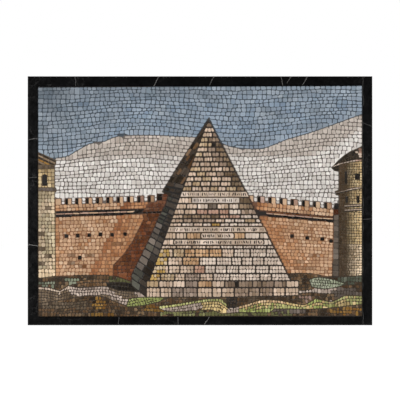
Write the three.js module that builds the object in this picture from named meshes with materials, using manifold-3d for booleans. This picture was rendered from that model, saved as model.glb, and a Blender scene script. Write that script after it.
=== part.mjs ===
// A glass mosaic panel: a view of a stone pyramid in front of a battlemented city wall, set in a black marble slab.
// Units are millimetres. The picture is drawn in its own plane, x to the right, y up and z out of the slab's back
// towards the viewer, with the origin at the middle of the back. The last group turns it upright: +Z is then up,
// the face looks along -Y, and the slab's back lies in the plane y = 0.
//
// The tesserae are far too many to be solids of their own. Those of one area of the picture are fused into one
// plate as deep as they are, with the area's true outline, and the joints between their rows are cut into its face.
import * as THREE from "three";
import { mergeVertices } from "three/addons/utils/BufferGeometryUtils.js";
import Module from "manifold-3d";

const wasm = await Module();
wasm.setup();

// Driving dimensions.
const WIDTH = 80;
const HEIGHT = 57.8;
const DEPTH = 8;
const RECESS = 4; // depth of the hollow cut into the slab
const BED = 1.2; // thickness of the mastic under the tesserae
const PROUD = 0.1; // how far the marble rim stands above the tesserae
const ARRIS = 0.3; // the slab's small bevel
const FIT = 0.15; // play between the hollow's wall and what fills it
const SEAM = 0.03; // play between two faces that bear on each other
const AREA_JOINT = 0.18; // joint between two areas of the picture
const ROW_JOINT = 0.15; // joint between two rows of tesserae
const COURSE_JOINT = 0.3; // joint between two courses of the pyramid
const JOINT_DEPTH = 0.2;

const FLOOR = DEPTH - RECESS; // the hollow's floor, above the slab's back
const FACE = DEPTH - PROUD; // the tesserae's polished face
const ABOVE = DEPTH + 1; // where a cutter ends, clear of every face

// The hollow was cut by hand and is a little out of square. Areas that run to its wall are drawn past it.
const OPENING = [
  [-37.6, -27.0],
  [37.7, -26.8],
  [37.7, 26.8],
  [-37.7, 26.4],
];
const EDGE = 38.5;

// The pyramid: its sunlit face, the plinth below it, and its stone courses from the top down.
const APEX = [2.1, 19.0];
const PLINTH = { left: -12.3, right: 22.8, top: -18.6, middle: -20.15, foot: -22.3, footRight: -21.9 };
const FOOT_LEFT = [-11.7, PLINTH.top];
const FOOT_RIGHT = [21.2, PLINTH.top];
const SMALL_COURSE = { count: 14, height: 1.14, foot: 2.2 };
const MIDDLE_COURSE_FEET = [-0.65, -1.95, -3.2, -4.15, -5.1];
const LARGE_COURSE_FEET = [-8.9, -10.35, -11.15, -13.1, -15.0, -16.9];
const FACE_PARTS = { upper: 1.5, lower: -6.6 }; // behind the bands, where one plate of the face ends
const BLOCK = { small: 2.3, middle: 2.7, large: 3.3 }; // width of a block in each kind of course
const SHADED_COURSE = { count: 20, height: 1.14, first: 2.9, drop: 3.4 };

// The inscription: top and bottom of its five bands, their ends where they stop short of the face's edges, and how
// much is taken off the corners of the last two.
const BANDS = [
  { top: 2.06, bottom: 0.96 },
  { top: 0.66, bottom: -0.47, left: -1.8, right: 9.1 },
  { top: -6.13, bottom: -7.22 },
  { top: -7.56, bottom: -8.72, left: 0.3, right: 7.8, corner: 0.25 },
  { top: -9.08, bottom: -10.17, left: -6.0, right: 14.7, corner: 0.3 },
];
const STROKE = { width: 0.16, height: 0.52, pitch: 0.76, depth: 0.08, group: 5 };

// The city wall on each side of the pyramid: its top line, the depth of the string course below it, its foot,
// and the battlements' first gap and spacing.
const WALLS = {
  left: { from: -33.5, to: -9.2, top: [0.4, 1.2], parapet: [3.0, 3.0], foot: -17.4, firstGap: -31.75, merlon: 2.4 },
  right: { from: 11.6, to: 31.5, top: [1.2, -0.65], parapet: [3.3, 3.2], foot: -17.0, firstGap: 12.9, merlon: 2.58 },
};
const GAP = { width: 1.0, depth: 1.4 };
const STRING_COURSE = 1.1;
const BRICK_ROW = 1.6; // two rows of tesserae

const TOWER_LEFT = { right: -33.8, eave: 8.4, ledgeTop: 2.9, ledge: 2.1, foot: -18.3 };
const TOWER_RIGHT = { left: 32.3, eave: 8.4, ledgeTop: 2.4, ledge: 1.4, foot: -17.4 };
const TOWER_ROW = 0.95;

// The rows of the sky rise and fall in a long swell, which dies out at the frame and at the wall. Every third
// joint between them is cut.
const SKY = { top: 26.6, row: 2.76, swell: 0.9, length: 46, crest: -14, rows: 9 };
const EARTH_ROW = 1;

const GLASS = { roughness: 0.3, metalness: 0 };
const COLOURS = {
  marble: { color: 0x17171a, roughness: 0.18, metalness: 0 },
  mastic: { color: 0x4b4238, roughness: 0.85, metalness: 0 },
  sky: { color: 0x8398b0, ...GLASS },
  cloud: { color: 0xcfc8c0, ...GLASS },
  limestone: { color: 0xc3b296, ...GLASS },
  inscription: { color: 0xc9b596, ...GLASS },
  shade: { color: 0x4a423b, ...GLASS },
  brick: { color: 0xa87a5c, ...GLASS },
  brick_in_shadow: { color: 0x6a3b26, ...GLASS },
  tower: { color: 0xab9f78, ...GLASS },
  roof: { color: 0x584c40, ...GLASS },
  grass: { color: 0x9aa05a, ...GLASS },
  path: { color: 0x92867a, ...GLASS },
  earth: { color: 0x5a4e40, ...GLASS },
};

const toPoint = ([x, y]) => new THREE.Vector2(x, y);
const countTo = (count) => Array.from({ length: count }, (_, i) => i);

// A smooth line through the points, as short straight pieces.
function smooth(points, pieces = 2) {
  const curve = new THREE.SplineCurve(points.map(toPoint));
  return curve.getPoints((points.length - 1) * pieces).map((p) => [p.x, p.y]);
}

// Where the straight line through a and b is at the height y.
function acrossAt(a, b, y) {
  return a[0] + ((b[0] - a[0]) * (y - a[1])) / (b[1] - a[1]);
}

// The outline moved outwards by a distance, each corner along its mitre.
function grown(outline, distance) {
  const turn = THREE.ShapeUtils.area(outline.map(toPoint)) > 0 ? 1 : -1;
  const count = outline.length;
  return outline.map((corner, i) => {
    const here = toPoint(corner);
    const before = here.clone().sub(toPoint(outline[(i + count - 1) % count])).normalize();
    const after = toPoint(outline[(i + 1) % count]).sub(here).normalize();
    const both = before.clone().add(after);
    const mitre = new THREE.Vector2(both.y, -both.x).normalize().multiplyScalar(turn);
    const facing = Math.max((before.y * mitre.x - before.x * mitre.y) * turn, 0.4);
    const moved = here.add(mitre.multiplyScalar(distance / facing));
    return [moved.x, moved.y];
  });
}

// The outline of a strip of one width along a line.
function strip(line, width) {
  const [one, other] = [1, -1].map((side) =>
    line.map(([x, y], i) => {
      const before = toPoint(line[Math.max(i - 1, 0)]);
      const along = toPoint(line[Math.min(i + 1, line.length - 1)]).sub(before).normalize();
      return [x - (along.y * side * width) / 2, y + (along.x * side * width) / 2];
    }),
  );
  return [...one, ...other.reverse()];
}

// The solid of a closed geometry.
function toSolid(geometry) {
  const bare = new THREE.BufferGeometry().setAttribute("position", geometry.getAttribute("position"));
  const merged = mergeVertices(bare.setIndex(geometry.index), 1e-4);
  return new wasm.Manifold(
    new wasm.Mesh({
      numProp: 3,
      vertProperties: merged.attributes.position.array,
      triVerts: new Uint32Array(merged.index.array),
    }),
  );
}

// The solid over an outline between two distances from the slab's back.
function prism(outline, back, front) {
  const shape = new THREE.Shape(outline.map(toPoint));
  const geometry = new THREE.ExtrudeGeometry(shape, { depth: front - back, bevelEnabled: false });
  return toSolid(geometry.translate(0, 0, back));
}

// The named and coloured mesh of a solid.
function toMesh(name, solid, colour) {
  const { vertProperties, triVerts } = solid.getMesh();
  const geometry = new THREE.BufferGeometry()
    .setAttribute("position", new THREE.BufferAttribute(vertProperties, 3))
    .setIndex(new THREE.BufferAttribute(triVerts, 1))
    .toNonIndexed();
  geometry.computeVertexNormals();
  const mesh = new THREE.Mesh(geometry, new THREE.MeshStandardMaterial(COLOURS[colour]));
  mesh.name = name;
  return mesh;
}

// The marble slab: a bevelled block with a hollow cut into its face.
function marbleSlab() {
  const [x, y] = [WIDTH / 2 - ARRIS, HEIGHT / 2 - ARRIS];
  const face = new THREE.Shape([[-x, -y], [x, -y], [x, y], [-x, y]].map(toPoint));
  const bevel = { bevelSize: ARRIS, bevelThickness: ARRIS, bevelSegments: 1 };
  const block = new THREE.ExtrudeGeometry(face, { depth: DEPTH - 2 * ARRIS, ...bevel });
  return toSolid(block.translate(0, 0, ARRIS)).subtract(prism(OPENING, FLOOR, ABOVE));
}

// The left and right ends of the pyramid's sunlit face at one height.
function faceEnds(y) {
  return [acrossAt(APEX, FOOT_LEFT, y), acrossAt(APEX, FOOT_RIGHT, y)];
}

// The outline of the sunlit face between two heights.
function faceBetween(top, foot) {
  const [footLeft, footRight] = faceEnds(foot);
  const [topLeft, topRight] = faceEnds(top);
  return [[footLeft, foot], [footRight, foot], [topRight, top], [topLeft, top]];
}

// The outline of one band of the inscription.
function bandOutline({ top, bottom, left, right, corner }) {
  if (left === undefined) return faceBetween(top, bottom);
  if (!corner) return [[left, bottom], [right, bottom], [right, top], [left, top]];
  return [
    [left, bottom + corner],
    [left + corner, bottom],
    [right - corner, bottom],
    [right, bottom + corner],
    [right, top - corner],
    [right - corner, top],
    [left + corner, top],
    [left, top - corner],
  ];
}

// Shallow upright strokes, in groups like words, where the letters stand.
function bandStrokes({ top, bottom, left, right }) {
  const ends = faceEnds(top);
  const from = (left ?? ends[0]) + 0.6;
  const to = (right ?? ends[1]) - 0.4;
  const middle = (top + bottom) / 2;
  const places = countTo(Math.floor((to - from) / STROKE.pitch)).filter((i) => i % (STROKE.group + 1) < STROKE.group);
  return places.map((i) => {
    const x = from + i * STROKE.pitch;
    const lean = 0.06 * Math.sin(i * 2.3);
    const half = STROKE.height / 2 - (i % 3 === 1 ? 0.08 : 0);
    return [[x - lean, middle - half], [x + lean, middle + half]];
  });
}

// The joints of stone courses with these feet, the first of them reaching up to a top: a line under each course
// but the last, and one between each two of its blocks, staggered by hand.
function courseJoints(top, feet, blockWidth, ends = faceEnds) {
  return feet.flatMap((foot, course) => {
    const head = course ? feet[course - 1] : top;
    const [left, right] = ends((head + foot) / 2);
    const blocks = Math.round((right - left) / blockWidth);
    const upright = countTo(blocks - 1).map((i) => {
      const shift = (course % 2 ? 0.25 : -0.25) + 0.2 * Math.sin(5.1 * i + 3.7 * course);
      const x = left + ((i + 1 + shift) * (right - left)) / blocks;
      return [[x, foot + COURSE_JOINT / 2], [x, head - COURSE_JOINT / 2]];
    });
    const level = [[PLINTH.left - 1, foot], [PLINTH.right + 1, foot]];
    return course < feet.length - 1 ? [level, ...upright] : upright;
  });
}

// The sunlit face: small courses at the top, wider ones below, the plinth, and the bands of the inscription.
function sunlitFace() {
  const [first, , third] = BANDS;
  const { count, height, foot } = SMALL_COURSE;
  const smallFeet = countTo(count).map((i) => foot + (count - 1 - i) * height);
  const bands = BANDS.map((band, i) => ({
    name: `inscription_band_${i + 1}`,
    colour: "inscription",
    outline: bandOutline(band),
    strokes: bandStrokes(band),
    clear: COURSE_JOINT,
  }));
  const face = { colour: "limestone", width: COURSE_JOINT };
  const [upperLeft, upperRight] = faceEnds(FACE_PARTS.upper);
  return [
    ...bands,
    {
      ...face,
      name: "pyramid_face_upper",
      outline: [[upperLeft, FACE_PARTS.upper], [upperRight, FACE_PARTS.upper], APEX],
      joints: courseJoints(APEX[1], smallFeet, BLOCK.small),
    },
    {
      ...face,
      name: "pyramid_face_middle",
      outline: faceBetween(FACE_PARTS.upper, FACE_PARTS.lower),
      joints: courseJoints(first.bottom, [...MIDDLE_COURSE_FEET, third.top], BLOCK.middle),
    },
    {
      ...face,
      name: "pyramid_face_lower",
      outline: faceBetween(FACE_PARTS.lower, PLINTH.top + COURSE_JOINT / 2),
      joints: courseJoints(third.bottom, [...LARGE_COURSE_FEET, PLINTH.top], BLOCK.large),
    },
    {
      ...face,
      name: "pyramid_plinth",
      outline: [
        [PLINTH.left, PLINTH.top],
        [PLINTH.left, PLINTH.foot],
        [6.1, PLINTH.foot],
        [PLINTH.right, PLINTH.footRight],
        [PLINTH.right, PLINTH.top],
      ],
      joints: courseJoints(PLINTH.top, [PLINTH.middle, PLINTH.foot], BLOCK.large, () => [PLINTH.left, PLINTH.right]),
    },
  ];
}

// The shaded face, narrow at the top and wider below; its courses run down to the right.
function shadedFace() {
  const { count, height, first, drop } = SHADED_COURSE;
  const joints = countTo(count).map((i) => {
    const y = first - i * height;
    const x = acrossAt(APEX, FOOT_LEFT, y);
    return [[x - 7, y + drop], [x + 1, y - 0.4]];
  });
  const outer = [[2.1, 19.2], [-4.4, 9.1], [-8.7, 2.1], [-7.3, 1.5], [-7.9, -0.8], [-9.4, -3.6], [-11.3, -8.0],
    [-13.2, -12.0], [-15.8, -17.2], [-15.8, -19.6]];
  const hidden = [[-12.4, -22.3], [-10, -18], [4, 15]];
  return { name: "pyramid_face_shaded", colour: "shade", outline: [...outer, ...hidden], joints, width: ROW_JOINT };
}

// Rows that follow a line, one below the other.
function rowsAlong(line, row, count) {
  return countTo(count).map((i) => line.map(([x, y]) => [x, y - (i + 1) * row]));
}

// Level rows between two ends and two heights.
function levelRows(from, to, top, bottom, row) {
  const rows = Math.round((top - bottom) / row);
  return countTo(rows - 1).map((i) => {
    const y = top - ((i + 1) * (top - bottom)) / rows;
    return [[from, y], [to, y]];
  });
}

// The ground in front of the pyramid and the wall, from the nearest thing back to the farthest.
function ground() {
  const pathTop = smooth([[-EDGE, -20.1], [-35, -20.2], [-32.4, -21.0], [-30.6, -19.8], [-28, -20.3], [-22, -19.9],
    [-19, -20.9], [-14, -21.3], [-12.6, -22.3]]);
  const pathFoot = smooth([[-12.8, -22.4], [-15.4, -22.6], [-16.6, -24.5], [-22, -22.3], [-26, -21.9],
    [-30, -22.6], [-EDGE, -23.9]]);
  const vergeTop = smooth([[-9.4, -24.5], [-4, -23.8], [2, -22.8], [6.2, -23.1], [8.6, -24.7], [14, -23.1],
    [19, -23.3], [24.2, -24.3], [26.8, -22.8], [30.5, -23.6], [33.6, -22.1], [EDGE, -22.3]]);
  const vergeFoot = smooth([[EDGE, -23.8], [32, -24.6], [25.4, -25.1], [17.2, -25.0], [16.2, -25.9], [9.2, -25.8],
    [5, -26.1], [2.4, -25.2], [-6.5, -25.7], [-9.4, -24.9]]);
  const tuft = smooth([[-16.4, -22.8], [-12.6, -22.4], [-7.8, -22.7], [-13, -24.2], [-17, -24.5]]);
  const brushwood = smooth([[25.4, -18.4], [28, -17.8], [33.7, -19.3], [29, -20.4], [26, -19.9]]);
  const leftTop = smooth([[-EDGE, -18.3], [-33.4, -17.6], [-26, -17.4], [-20, -17.5], [-16, -18.9]]);
  const rightTop = smooth([[20.4, -17.0], [26, -17.0], [31.1, -17.9], [EDGE, -17.3]]);
  const rightFoot = [[EDGE, -23], [33.6, -23.2], [30.5, -24.1], [24.2, -24.7], [14, -24.4], [8.3, -25.2], [8.3, -21.8]];
  const opening = [[6.3, -24.7], [8.2, -24.7], [8.6, -22.0], [6.3, -22.0]];
  const front = [[-EDGE, -28], [EDGE, -28], [EDGE, -23], [6.4, -24], [6.4, -22.2], [-6, -22.2], [-EDGE, -22.2]];
  const turf = { colour: "grass", width: ROW_JOINT };
  const soil = { colour: "earth", width: ROW_JOINT };
  return [
    { name: "opening_at_the_foot", colour: "shade", outline: opening },
    { ...turf, name: "grass_tuft", outline: tuft },
    { ...turf, name: "grassy_verge", outline: [...vergeTop, ...vergeFoot], joints: rowsAlong(vergeTop, 1.1, 1) },
    { ...turf, name: "brushwood", outline: brushwood },
    {
      name: "stony_path",
      colour: "path",
      outline: [...pathTop, ...pathFoot],
      joints: rowsAlong(pathTop, 1.1, 2),
      width: ROW_JOINT,
    },
    {
      ...soil,
      name: "earth_right",
      outline: [...rightTop, ...rightFoot, [20.4, -21.8]],
      joints: levelRows(8, EDGE, -17.2, -25, EARTH_ROW),
    },
    {
      ...soil,
      name: "earth_left",
      outline: [...leftTop, [-12, -18.9], [-12, -21.6], [-EDGE, -21.2]],
      joints: levelRows(-EDGE, -12, -17.4, -21.4, EARTH_ROW),
    },
    { ...soil, name: "earth_in_front", outline: front, joints: levelRows(-EDGE, EDGE, -22.6, -26.8, EARTH_ROW) },
  ];
}

// The tower at the left edge, with its pediment, and the round tower at the right edge, with its cone roof.
function towers() {
  const left = TOWER_LEFT;
  const right = TOWER_RIGHT;
  const slope = smooth([[30.7, 7.6], [31.8, 8.9], [33.0, 10.0], [34.7, 11.2], [EDGE, 12.9]]);
  const eave = smooth([[EDGE, 9.4], [34.8, 9.0], [32.3, 8.4]]);
  return [
    {
      name: "tower_left_roof",
      colour: "roof",
      outline: [[-EDGE, left.eave], [-33.6, left.eave], [-33.5, 9.3], [-EDGE, 11.6]],
      joints: [[[-EDGE, 10.5], [-33.2, 8.6]]],
      width: ROW_JOINT,
    },
    {
      name: "tower_left",
      colour: "tower",
      outline: [
        [-EDGE, left.foot],
        [left.right + 0.2, left.foot],
        [left.right, left.ledge],
        [left.right + 0.3, left.ledge],
        [left.right + 0.3, left.ledgeTop],
        [left.right, left.ledgeTop],
        [left.right, left.eave],
        [-EDGE, left.eave],
      ],
      joints: levelRows(-EDGE, -33, left.eave, left.foot, TOWER_ROW),
      width: ROW_JOINT,
    },
    {
      name: "tower_right_roof",
      colour: "roof",
      outline: [...slope, ...eave, [32.2, 6.9], [31.2, 7.1]],
      joints: [smooth([[30.4, 7.3], [34, 9.9], [EDGE, 11.2]])],
      width: ROW_JOINT,
    },
    {
      name: "tower_right",
      colour: "tower",
      outline: [
        [right.left, right.eave + 1],
        [right.left, right.ledgeTop],
        [right.left - 0.9, right.ledgeTop - 0.3],
        [right.left - 0.7, right.ledge],
        [right.left, right.ledge],
        [right.left, right.foot],
        [EDGE, right.foot],
        [EDGE, 10],
      ],
      joints: levelRows(31, EDGE, right.eave, right.foot, TOWER_ROW),
      width: ROW_JOINT,
    },
    {
      name: "buttress",
      colour: "path",
      outline: [[30.8, -17.7], [32.2, -18.1], [32.2, -0.65], [31.35, -0.65], [31.1, -2.1]],
      joints: levelRows(30, 33, -1.6, -17.8, 2),
      width: ROW_JOINT,
    },
  ];
}

// How high a wall's top line is at x.
function wallTop(wall, x) {
  return THREE.MathUtils.mapLinear(x, wall.from, wall.to, ...wall.top);
}

// The sloping line across a wall that lies this far below the top of its string course.
function belowParapet(wall, depth) {
  return [wall.from, wall.to].map((x, i) => [x, wall.top[i] - wall.parapet[i] - depth]);
}

// The outline of the parapet, with the gaps of the battlements.
function parapetOutline(wall) {
  const room = wall.to - wall.firstGap - GAP.width / 2;
  const gaps = countTo(Math.floor(room / wall.merlon) + 1).map((i) => {
    const [left, right] = [-1, 1].map((side) => wall.firstGap + i * wall.merlon + (side * GAP.width) / 2);
    const [leftTop, rightTop] = [wallTop(wall, left), wallTop(wall, right)];
    return [[left, leftTop], [left, leftTop - GAP.depth], [right, rightTop - GAP.depth], [right, rightTop]];
  });
  const top = [[wall.from, wall.top[0]], ...gaps.flat(), [wall.to, wall.top[1]]];
  return [...top, ...belowParapet(wall, 0).reverse()];
}

// The rows of the brickwork, sloping like the string course at the top and level at the foot.
function brickRows(wall) {
  const [left, right] = belowParapet(wall, STRING_COURSE).map(([, y]) => y);
  const rows = Math.round((left - wall.foot) / BRICK_ROW);
  return countTo(rows - 1).map((i) => {
    const share = (i + 1) / rows;
    return [
      [wall.from - 1, THREE.MathUtils.lerp(left, wall.foot, share)],
      [wall.to + 1, THREE.MathUtils.lerp(right, wall.foot, share)],
    ];
  });
}

// The city wall, and the shadow that the pyramid throws on its left part.
function cityWall() {
  const shadow = {
    name: "shadow_on_the_wall",
    colour: "brick_in_shadow",
    outline: [[-9.9, 1.5], [-6, 1.5], [-6, -3], [-14, -19.4], [-16.4, -19.2], [-20.1, -17.5], [-20.0, -15.0],
      [-17.4, -12.2], [-15.6, -9.6], [-12.9, -4.2], [-13.4, -2.6], [-11.4, -0.6], [-9.9, -0.2]],
  };
  const parts = Object.entries(WALLS).flatMap(([side, wall]) => [
    {
      name: `string_course_${side}`,
      colour: "shade",
      outline: [...belowParapet(wall, STRING_COURSE), ...belowParapet(wall, 0).reverse()],
      joints: [belowParapet(wall, STRING_COURSE / 2)],
      width: ROW_JOINT,
    },
    {
      name: `battlements_${side}`,
      colour: "brick",
      outline: parapetOutline(wall),
      joints: [belowParapet(wall, -1.2)],
      width: ROW_JOINT,
    },
    {
      name: `city_wall_${side}`,
      colour: "brick",
      outline: [[wall.from, wall.foot], [wall.to, wall.foot - 1], ...belowParapet(wall, 0).reverse()],
      joints: brickRows(wall),
      width: ROW_JOINT,
    },
  ]);
  return [shadow, ...parts];
}

// One joint of the sky, counted down from the frame, with a point at each quarter of the swell.
function skyRow(row) {
  const fade = Math.sin((Math.PI * row) / SKY.rows);
  return countTo(9).map((i) => {
    const quarter = i - 3;
    const swell = SKY.swell * Math.cos((Math.PI * quarter) / 2);
    return [SKY.crest + (quarter * SKY.length) / 4, SKY.top - row * SKY.row + swell * fade];
  });
}

// The clouds on both sides of the pyramid, and the sky.
function skyAndClouds() {
  const leftCloud = smooth([[-EDGE, 9.4], [-33.4, 9.8], [-30.4, 10.4], [-25.8, 13.1], [-22, 13.7], [-19, 14.9],
    [-10, 15.1], [2, 14.4]]);
  const rightCloud = smooth([[2, 14.6], [6.6, 12.6], [10, 12.1], [14.6, 12.0], [20, 14.1], [25.6, 15.7],
    [34, 18.7], [EDGE, 20.3]]);
  const rows = (from, to) => countTo(to - from + 1).map((i) => skyRow(from + i));
  return [
    {
      name: "cloud_left",
      colour: "cloud",
      outline: [...leftCloud, [2, -1.6], [-EDGE, -1.6]],
      joints: rows(4, SKY.rows),
      width: ROW_JOINT,
    },
    {
      name: "cloud_right",
      colour: "cloud",
      outline: [...rightCloud, [EDGE, -1.6], [2, -1.6]],
      joints: rows(2, SKY.rows),
      width: ROW_JOINT,
    },
    {
      name: "sky",
      colour: "sky",
      outline: [[-EDGE, 4], [EDGE, 4], [EDGE, 28], [-EDGE, 28]],
      joints: rows(1, 6),
      width: ROW_JOINT,
    },
  ];
}

// The plates of tesserae, one for each area. An area is cut back where one before it in the list covers it.
function plates(areas) {
  const field = prism(grown(OPENING, -FIT), FLOOR + BED + SEAM, FACE);
  const taken = areas.map(({ outline, clear }) => prism(grown(outline, clear ?? AREA_JOINT), FLOOR - 1, ABOVE));
  return areas.map(({ name, colour, outline, width, joints = [], strokes = [] }, place) => {
    let plate = prism(outline, FLOOR, ABOVE).intersect(field);
    for (const before of taken.slice(0, place)) {
      plate = plate.subtract(before);
    }
    for (const line of joints) {
      plate = plate.subtract(prism(strip(line, width), FACE - JOINT_DEPTH, ABOVE));
    }
    for (const line of strokes) {
      plate = plate.subtract(prism(strip(line, STROKE.width), FACE - STROKE.depth, ABOVE));
    }
    return toMesh(name, plate, colour);
  });
}

const panel = new THREE.Group();
panel.add(toMesh("marble_slab", marbleSlab(), "marble"));
panel.add(toMesh("mastic_bed", prism(grown(OPENING, -FIT), FLOOR + SEAM, FLOOR + BED), "mastic"));
panel.add(
  ...plates([...sunlitFace(), shadedFace(), ...ground(), ...towers(), ...cityWall(), ...skyAndClouds()]),
);
panel.rotation.x = Math.PI / 2;

const object = new THREE.Group();
object.add(panel);
export default object;
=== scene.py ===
"""The looks of a small glass mosaic panel: each tessera, the filler between them, and the black marble slab.

The picture is laid out in its own plane, x to the right and z up, in millimetres. A mesh turns it into metres in the
frame, where the panel faces -Y. Each area of the picture takes its outline from the back of its CAD plate, and is
filled with rows of separate tesserae, cut to fit at the area's edges.
"""

import math
import random

import bpy
import numpy as np
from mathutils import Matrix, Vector, noise


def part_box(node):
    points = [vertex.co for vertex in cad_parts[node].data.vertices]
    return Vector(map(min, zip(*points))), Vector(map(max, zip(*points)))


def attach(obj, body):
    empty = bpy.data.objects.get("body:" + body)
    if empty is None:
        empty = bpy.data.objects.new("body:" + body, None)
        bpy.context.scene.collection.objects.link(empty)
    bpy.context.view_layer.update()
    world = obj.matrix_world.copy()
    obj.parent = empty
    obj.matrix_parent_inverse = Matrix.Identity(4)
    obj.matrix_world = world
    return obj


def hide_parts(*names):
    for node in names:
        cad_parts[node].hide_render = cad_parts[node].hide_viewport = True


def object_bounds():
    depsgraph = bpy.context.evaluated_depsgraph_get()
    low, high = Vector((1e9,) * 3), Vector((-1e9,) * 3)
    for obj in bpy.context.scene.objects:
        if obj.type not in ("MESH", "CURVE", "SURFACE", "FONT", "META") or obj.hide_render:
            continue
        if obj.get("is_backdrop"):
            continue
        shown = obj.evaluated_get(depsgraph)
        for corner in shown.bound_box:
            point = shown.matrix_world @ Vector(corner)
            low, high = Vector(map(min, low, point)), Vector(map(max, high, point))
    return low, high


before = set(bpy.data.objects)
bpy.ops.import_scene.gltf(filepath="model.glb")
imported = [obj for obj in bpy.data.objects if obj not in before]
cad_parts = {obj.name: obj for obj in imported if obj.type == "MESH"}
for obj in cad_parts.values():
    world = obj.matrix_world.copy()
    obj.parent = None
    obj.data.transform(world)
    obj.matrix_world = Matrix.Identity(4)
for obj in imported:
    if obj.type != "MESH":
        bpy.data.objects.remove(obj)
CAD_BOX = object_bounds()

MM = 0.001
random.seed(7)

# Sizes of the work itself, in millimetres.
FACE = -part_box("sky")[0][1] / MM  # the tesserae's faces, in front of the slab's back
BED = -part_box("sky")[1][1] / MM  # where the tesserae stand on the mastic
FILLER_BELOW = 0.08  # the filler in the joints, below the faces
CHAMFER = 0.035
CORNER = 0.17  # how much is broken off each corner
SLIVER = 0.34  # the least height of a tile, as a share of its row
STRIP = 0.5  # a strip at the edge of an area, lower than this share of a row, is covered by the row beside it
WAVER = 0.035  # how far hand-cut edges wander

SKY_ROW = 0.92
SKY_TOP = 26.6
SWELL = {"height": 0.9, "length": 46.0, "crest": -14.0, "fades_over": 24.84}
BRICK_ROW = 0.84
GROUND_ROW = 0.72
COURSE_GAP = 0.25
EDGE_JOINT = 0.24  # the dark joint along the right edge of the pyramid


# ---------------------------------------------------------------------------------------------- colours


def srgb(code):
    """The linear colour of a six-digit sRGB code."""
    values = [int(code[i : i + 2], 16) / 255 for i in (0, 2, 4)]
    return np.array([v / 12.92 if v <= 0.04045 else ((v + 0.055) / 1.055) ** 2.4 for v in values])


# The glass of each kind, from the lightest batch to the darkest.
PALETTES = {
    name: [srgb(code) for code in codes.split()]
    for name, codes in {
        "sky_blue": "a5b1bd 9ca9b6 97a4b2 92a0af 8b9bab 8595a6 7d8ea1",
        "sky_grey": "a2abb2 99a2ab 929ba4 8b959e 848e97 7c8891 76818b",
        "cloud_white": "f2ece6 eae5de e3dcd6 dbd5ce d5cdc5 cdc5be",
        "cloud_pink": "d6cbc0 cec2b7 c6bbb0 bfb3a8 b6aa9f afa397",
        "cream": "f3ddca e9d2be dec7b2 d4bda7 cab29b c0a790",
        "ivory": "f8e9db eedfd1 e5d5c7 dbcbbd d2c1b2 c8b8a8",
        "straw": "e3ceb1 d9c3a4 cfb898 c5ad8c bba281 b09775",
        "tan": "d4b390 caa885 c09e7b b69470 ac8966 a27f5b",
        "ochre": "d3b373 c9a868 bf9d5d b49253 aa8749 9f7c3f",
        "rose": "d1b09a c6a493 bb9884 b08d79 a5826f 9a7764",
        "stone_grey": "b19d8c a69281 9a8775 8f7c6c 847260 796757",
        "dusk": "99856f 8e7a64 83705a 786550 6d5b47 62513d",
        "quoin": "a3968b 988b80 8d8075 82766b 777062 6c6058",
        "lichen": "8b897c 807e72 757367 6a685d 5f5d53 545249",
        "slate": "7c7065 72675c 685d53 5f544a 554b41 4b4238",
        "night": "50453a 473c32 3e342a 352c23 2d251c 251e16",
        "brick_pale": "e5c5a5 dbba9a d0ae8e c5a282 ba9777 af8b6c",
        "brick_light": "dcb593 d2ab88 c8a07e bd9673 b38b69 a9815e",
        "brick_rust": "d4a67e ca9a73 c09068 b6845d aa7852 a06e48",
        "brick_red": "976f56 8c634b 825841 774e37 6d422d 623824",
        "shadow": "7d5336 734a2e 6a4128 603922 56321b 4d2a16",
        "bole": "8a5838 7f4e31 754429 6a3c22 5f331b 542b15",
        "tower": "ebd4b6 e1caaa d6be9f cbb393 c1a988 b79e7d",
        "tower_green": "dac8a9 cfbe9e c4b392 baa887 af9d7c a49272",
        "tower_gold": "e4cda6 d8c197 ceb589 c3a87c b89d6f ae9162",
        "umber": "7d634b 725a41 695039 5e4731 543d28 493521",
        "moss": "cfcd91 c5c385 b9b77a aead6e a2a164 989559",
        "leaf": "c0c582 b4bb77 aab06b 9ea560 939a55 878e4b",
        "hay": "efd49e e5ca92 d9be86 ceb37c c2a770 b89c66",
        "teal": "a1a28c 959883 8a8e79 80856f 747a65 696f5c",
        "peach": "e9caa2 ddbf97 d2b48b c8a880 bd9d74 b2926a",
        "mauve": "ae9d90 a39286 98887b 8e7d71 837468 796a5e",
        "pale_path": "d9c7b8 cfbcad c3b0a2 b8a597 ad9a8c a28f81",
        "soil": "7e674d 735d44 6a523a 5f4832 553f29 4a3521",
        "loam": "5c4c3b 534433 493a2b 403224 372a1d 2d2116",
        "amber": "a17e47 96733d 8c6934 825e2b 775224 6d481d",
    }.items()
}

BLACK = srgb("1c1712")


def tint(colour, factor):
    """The colour, lighter or darker."""
    return colour * factor


def rod(name, x, z, cluster=0.55, size=2.6):
    """A colour from a palette: neighbours often come from one rod, the rest are mixed."""
    palette = PALETTES[name]
    drift = 0.5 + 0.9 * noise.noise(Vector((x / size, z / size, len(name))))
    share = cluster * drift + (1 - cluster) * random.random()
    colour = palette[min(max(int(share * len(palette)), 0), len(palette) - 1)]
    return colour * random.uniform(0.93, 1.07)


def blend_rods(first, second, share, x, z):
    """A colour from one of two palettes, more often from the second as the share grows."""
    return rod(second if random.random() < share else first, x, z)


def ramp(value, low, high):
    """0 below low, 1 above high, and straight between."""
    return min(max((value - low) / (high - low), 0.0), 1.0)


def along(points, x):
    """The height of a line through points, at x."""
    xs, zs = zip(*points)
    return float(np.interp(x, xs, zs))


def in_ellipse(x, z, cx, cz, rx, rz):
    return ((x - cx) / rx) ** 2 + ((z - cz) / rz) ** 2 < 1


# ---------------------------------------------------------------------------------------------- outlines


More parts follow.
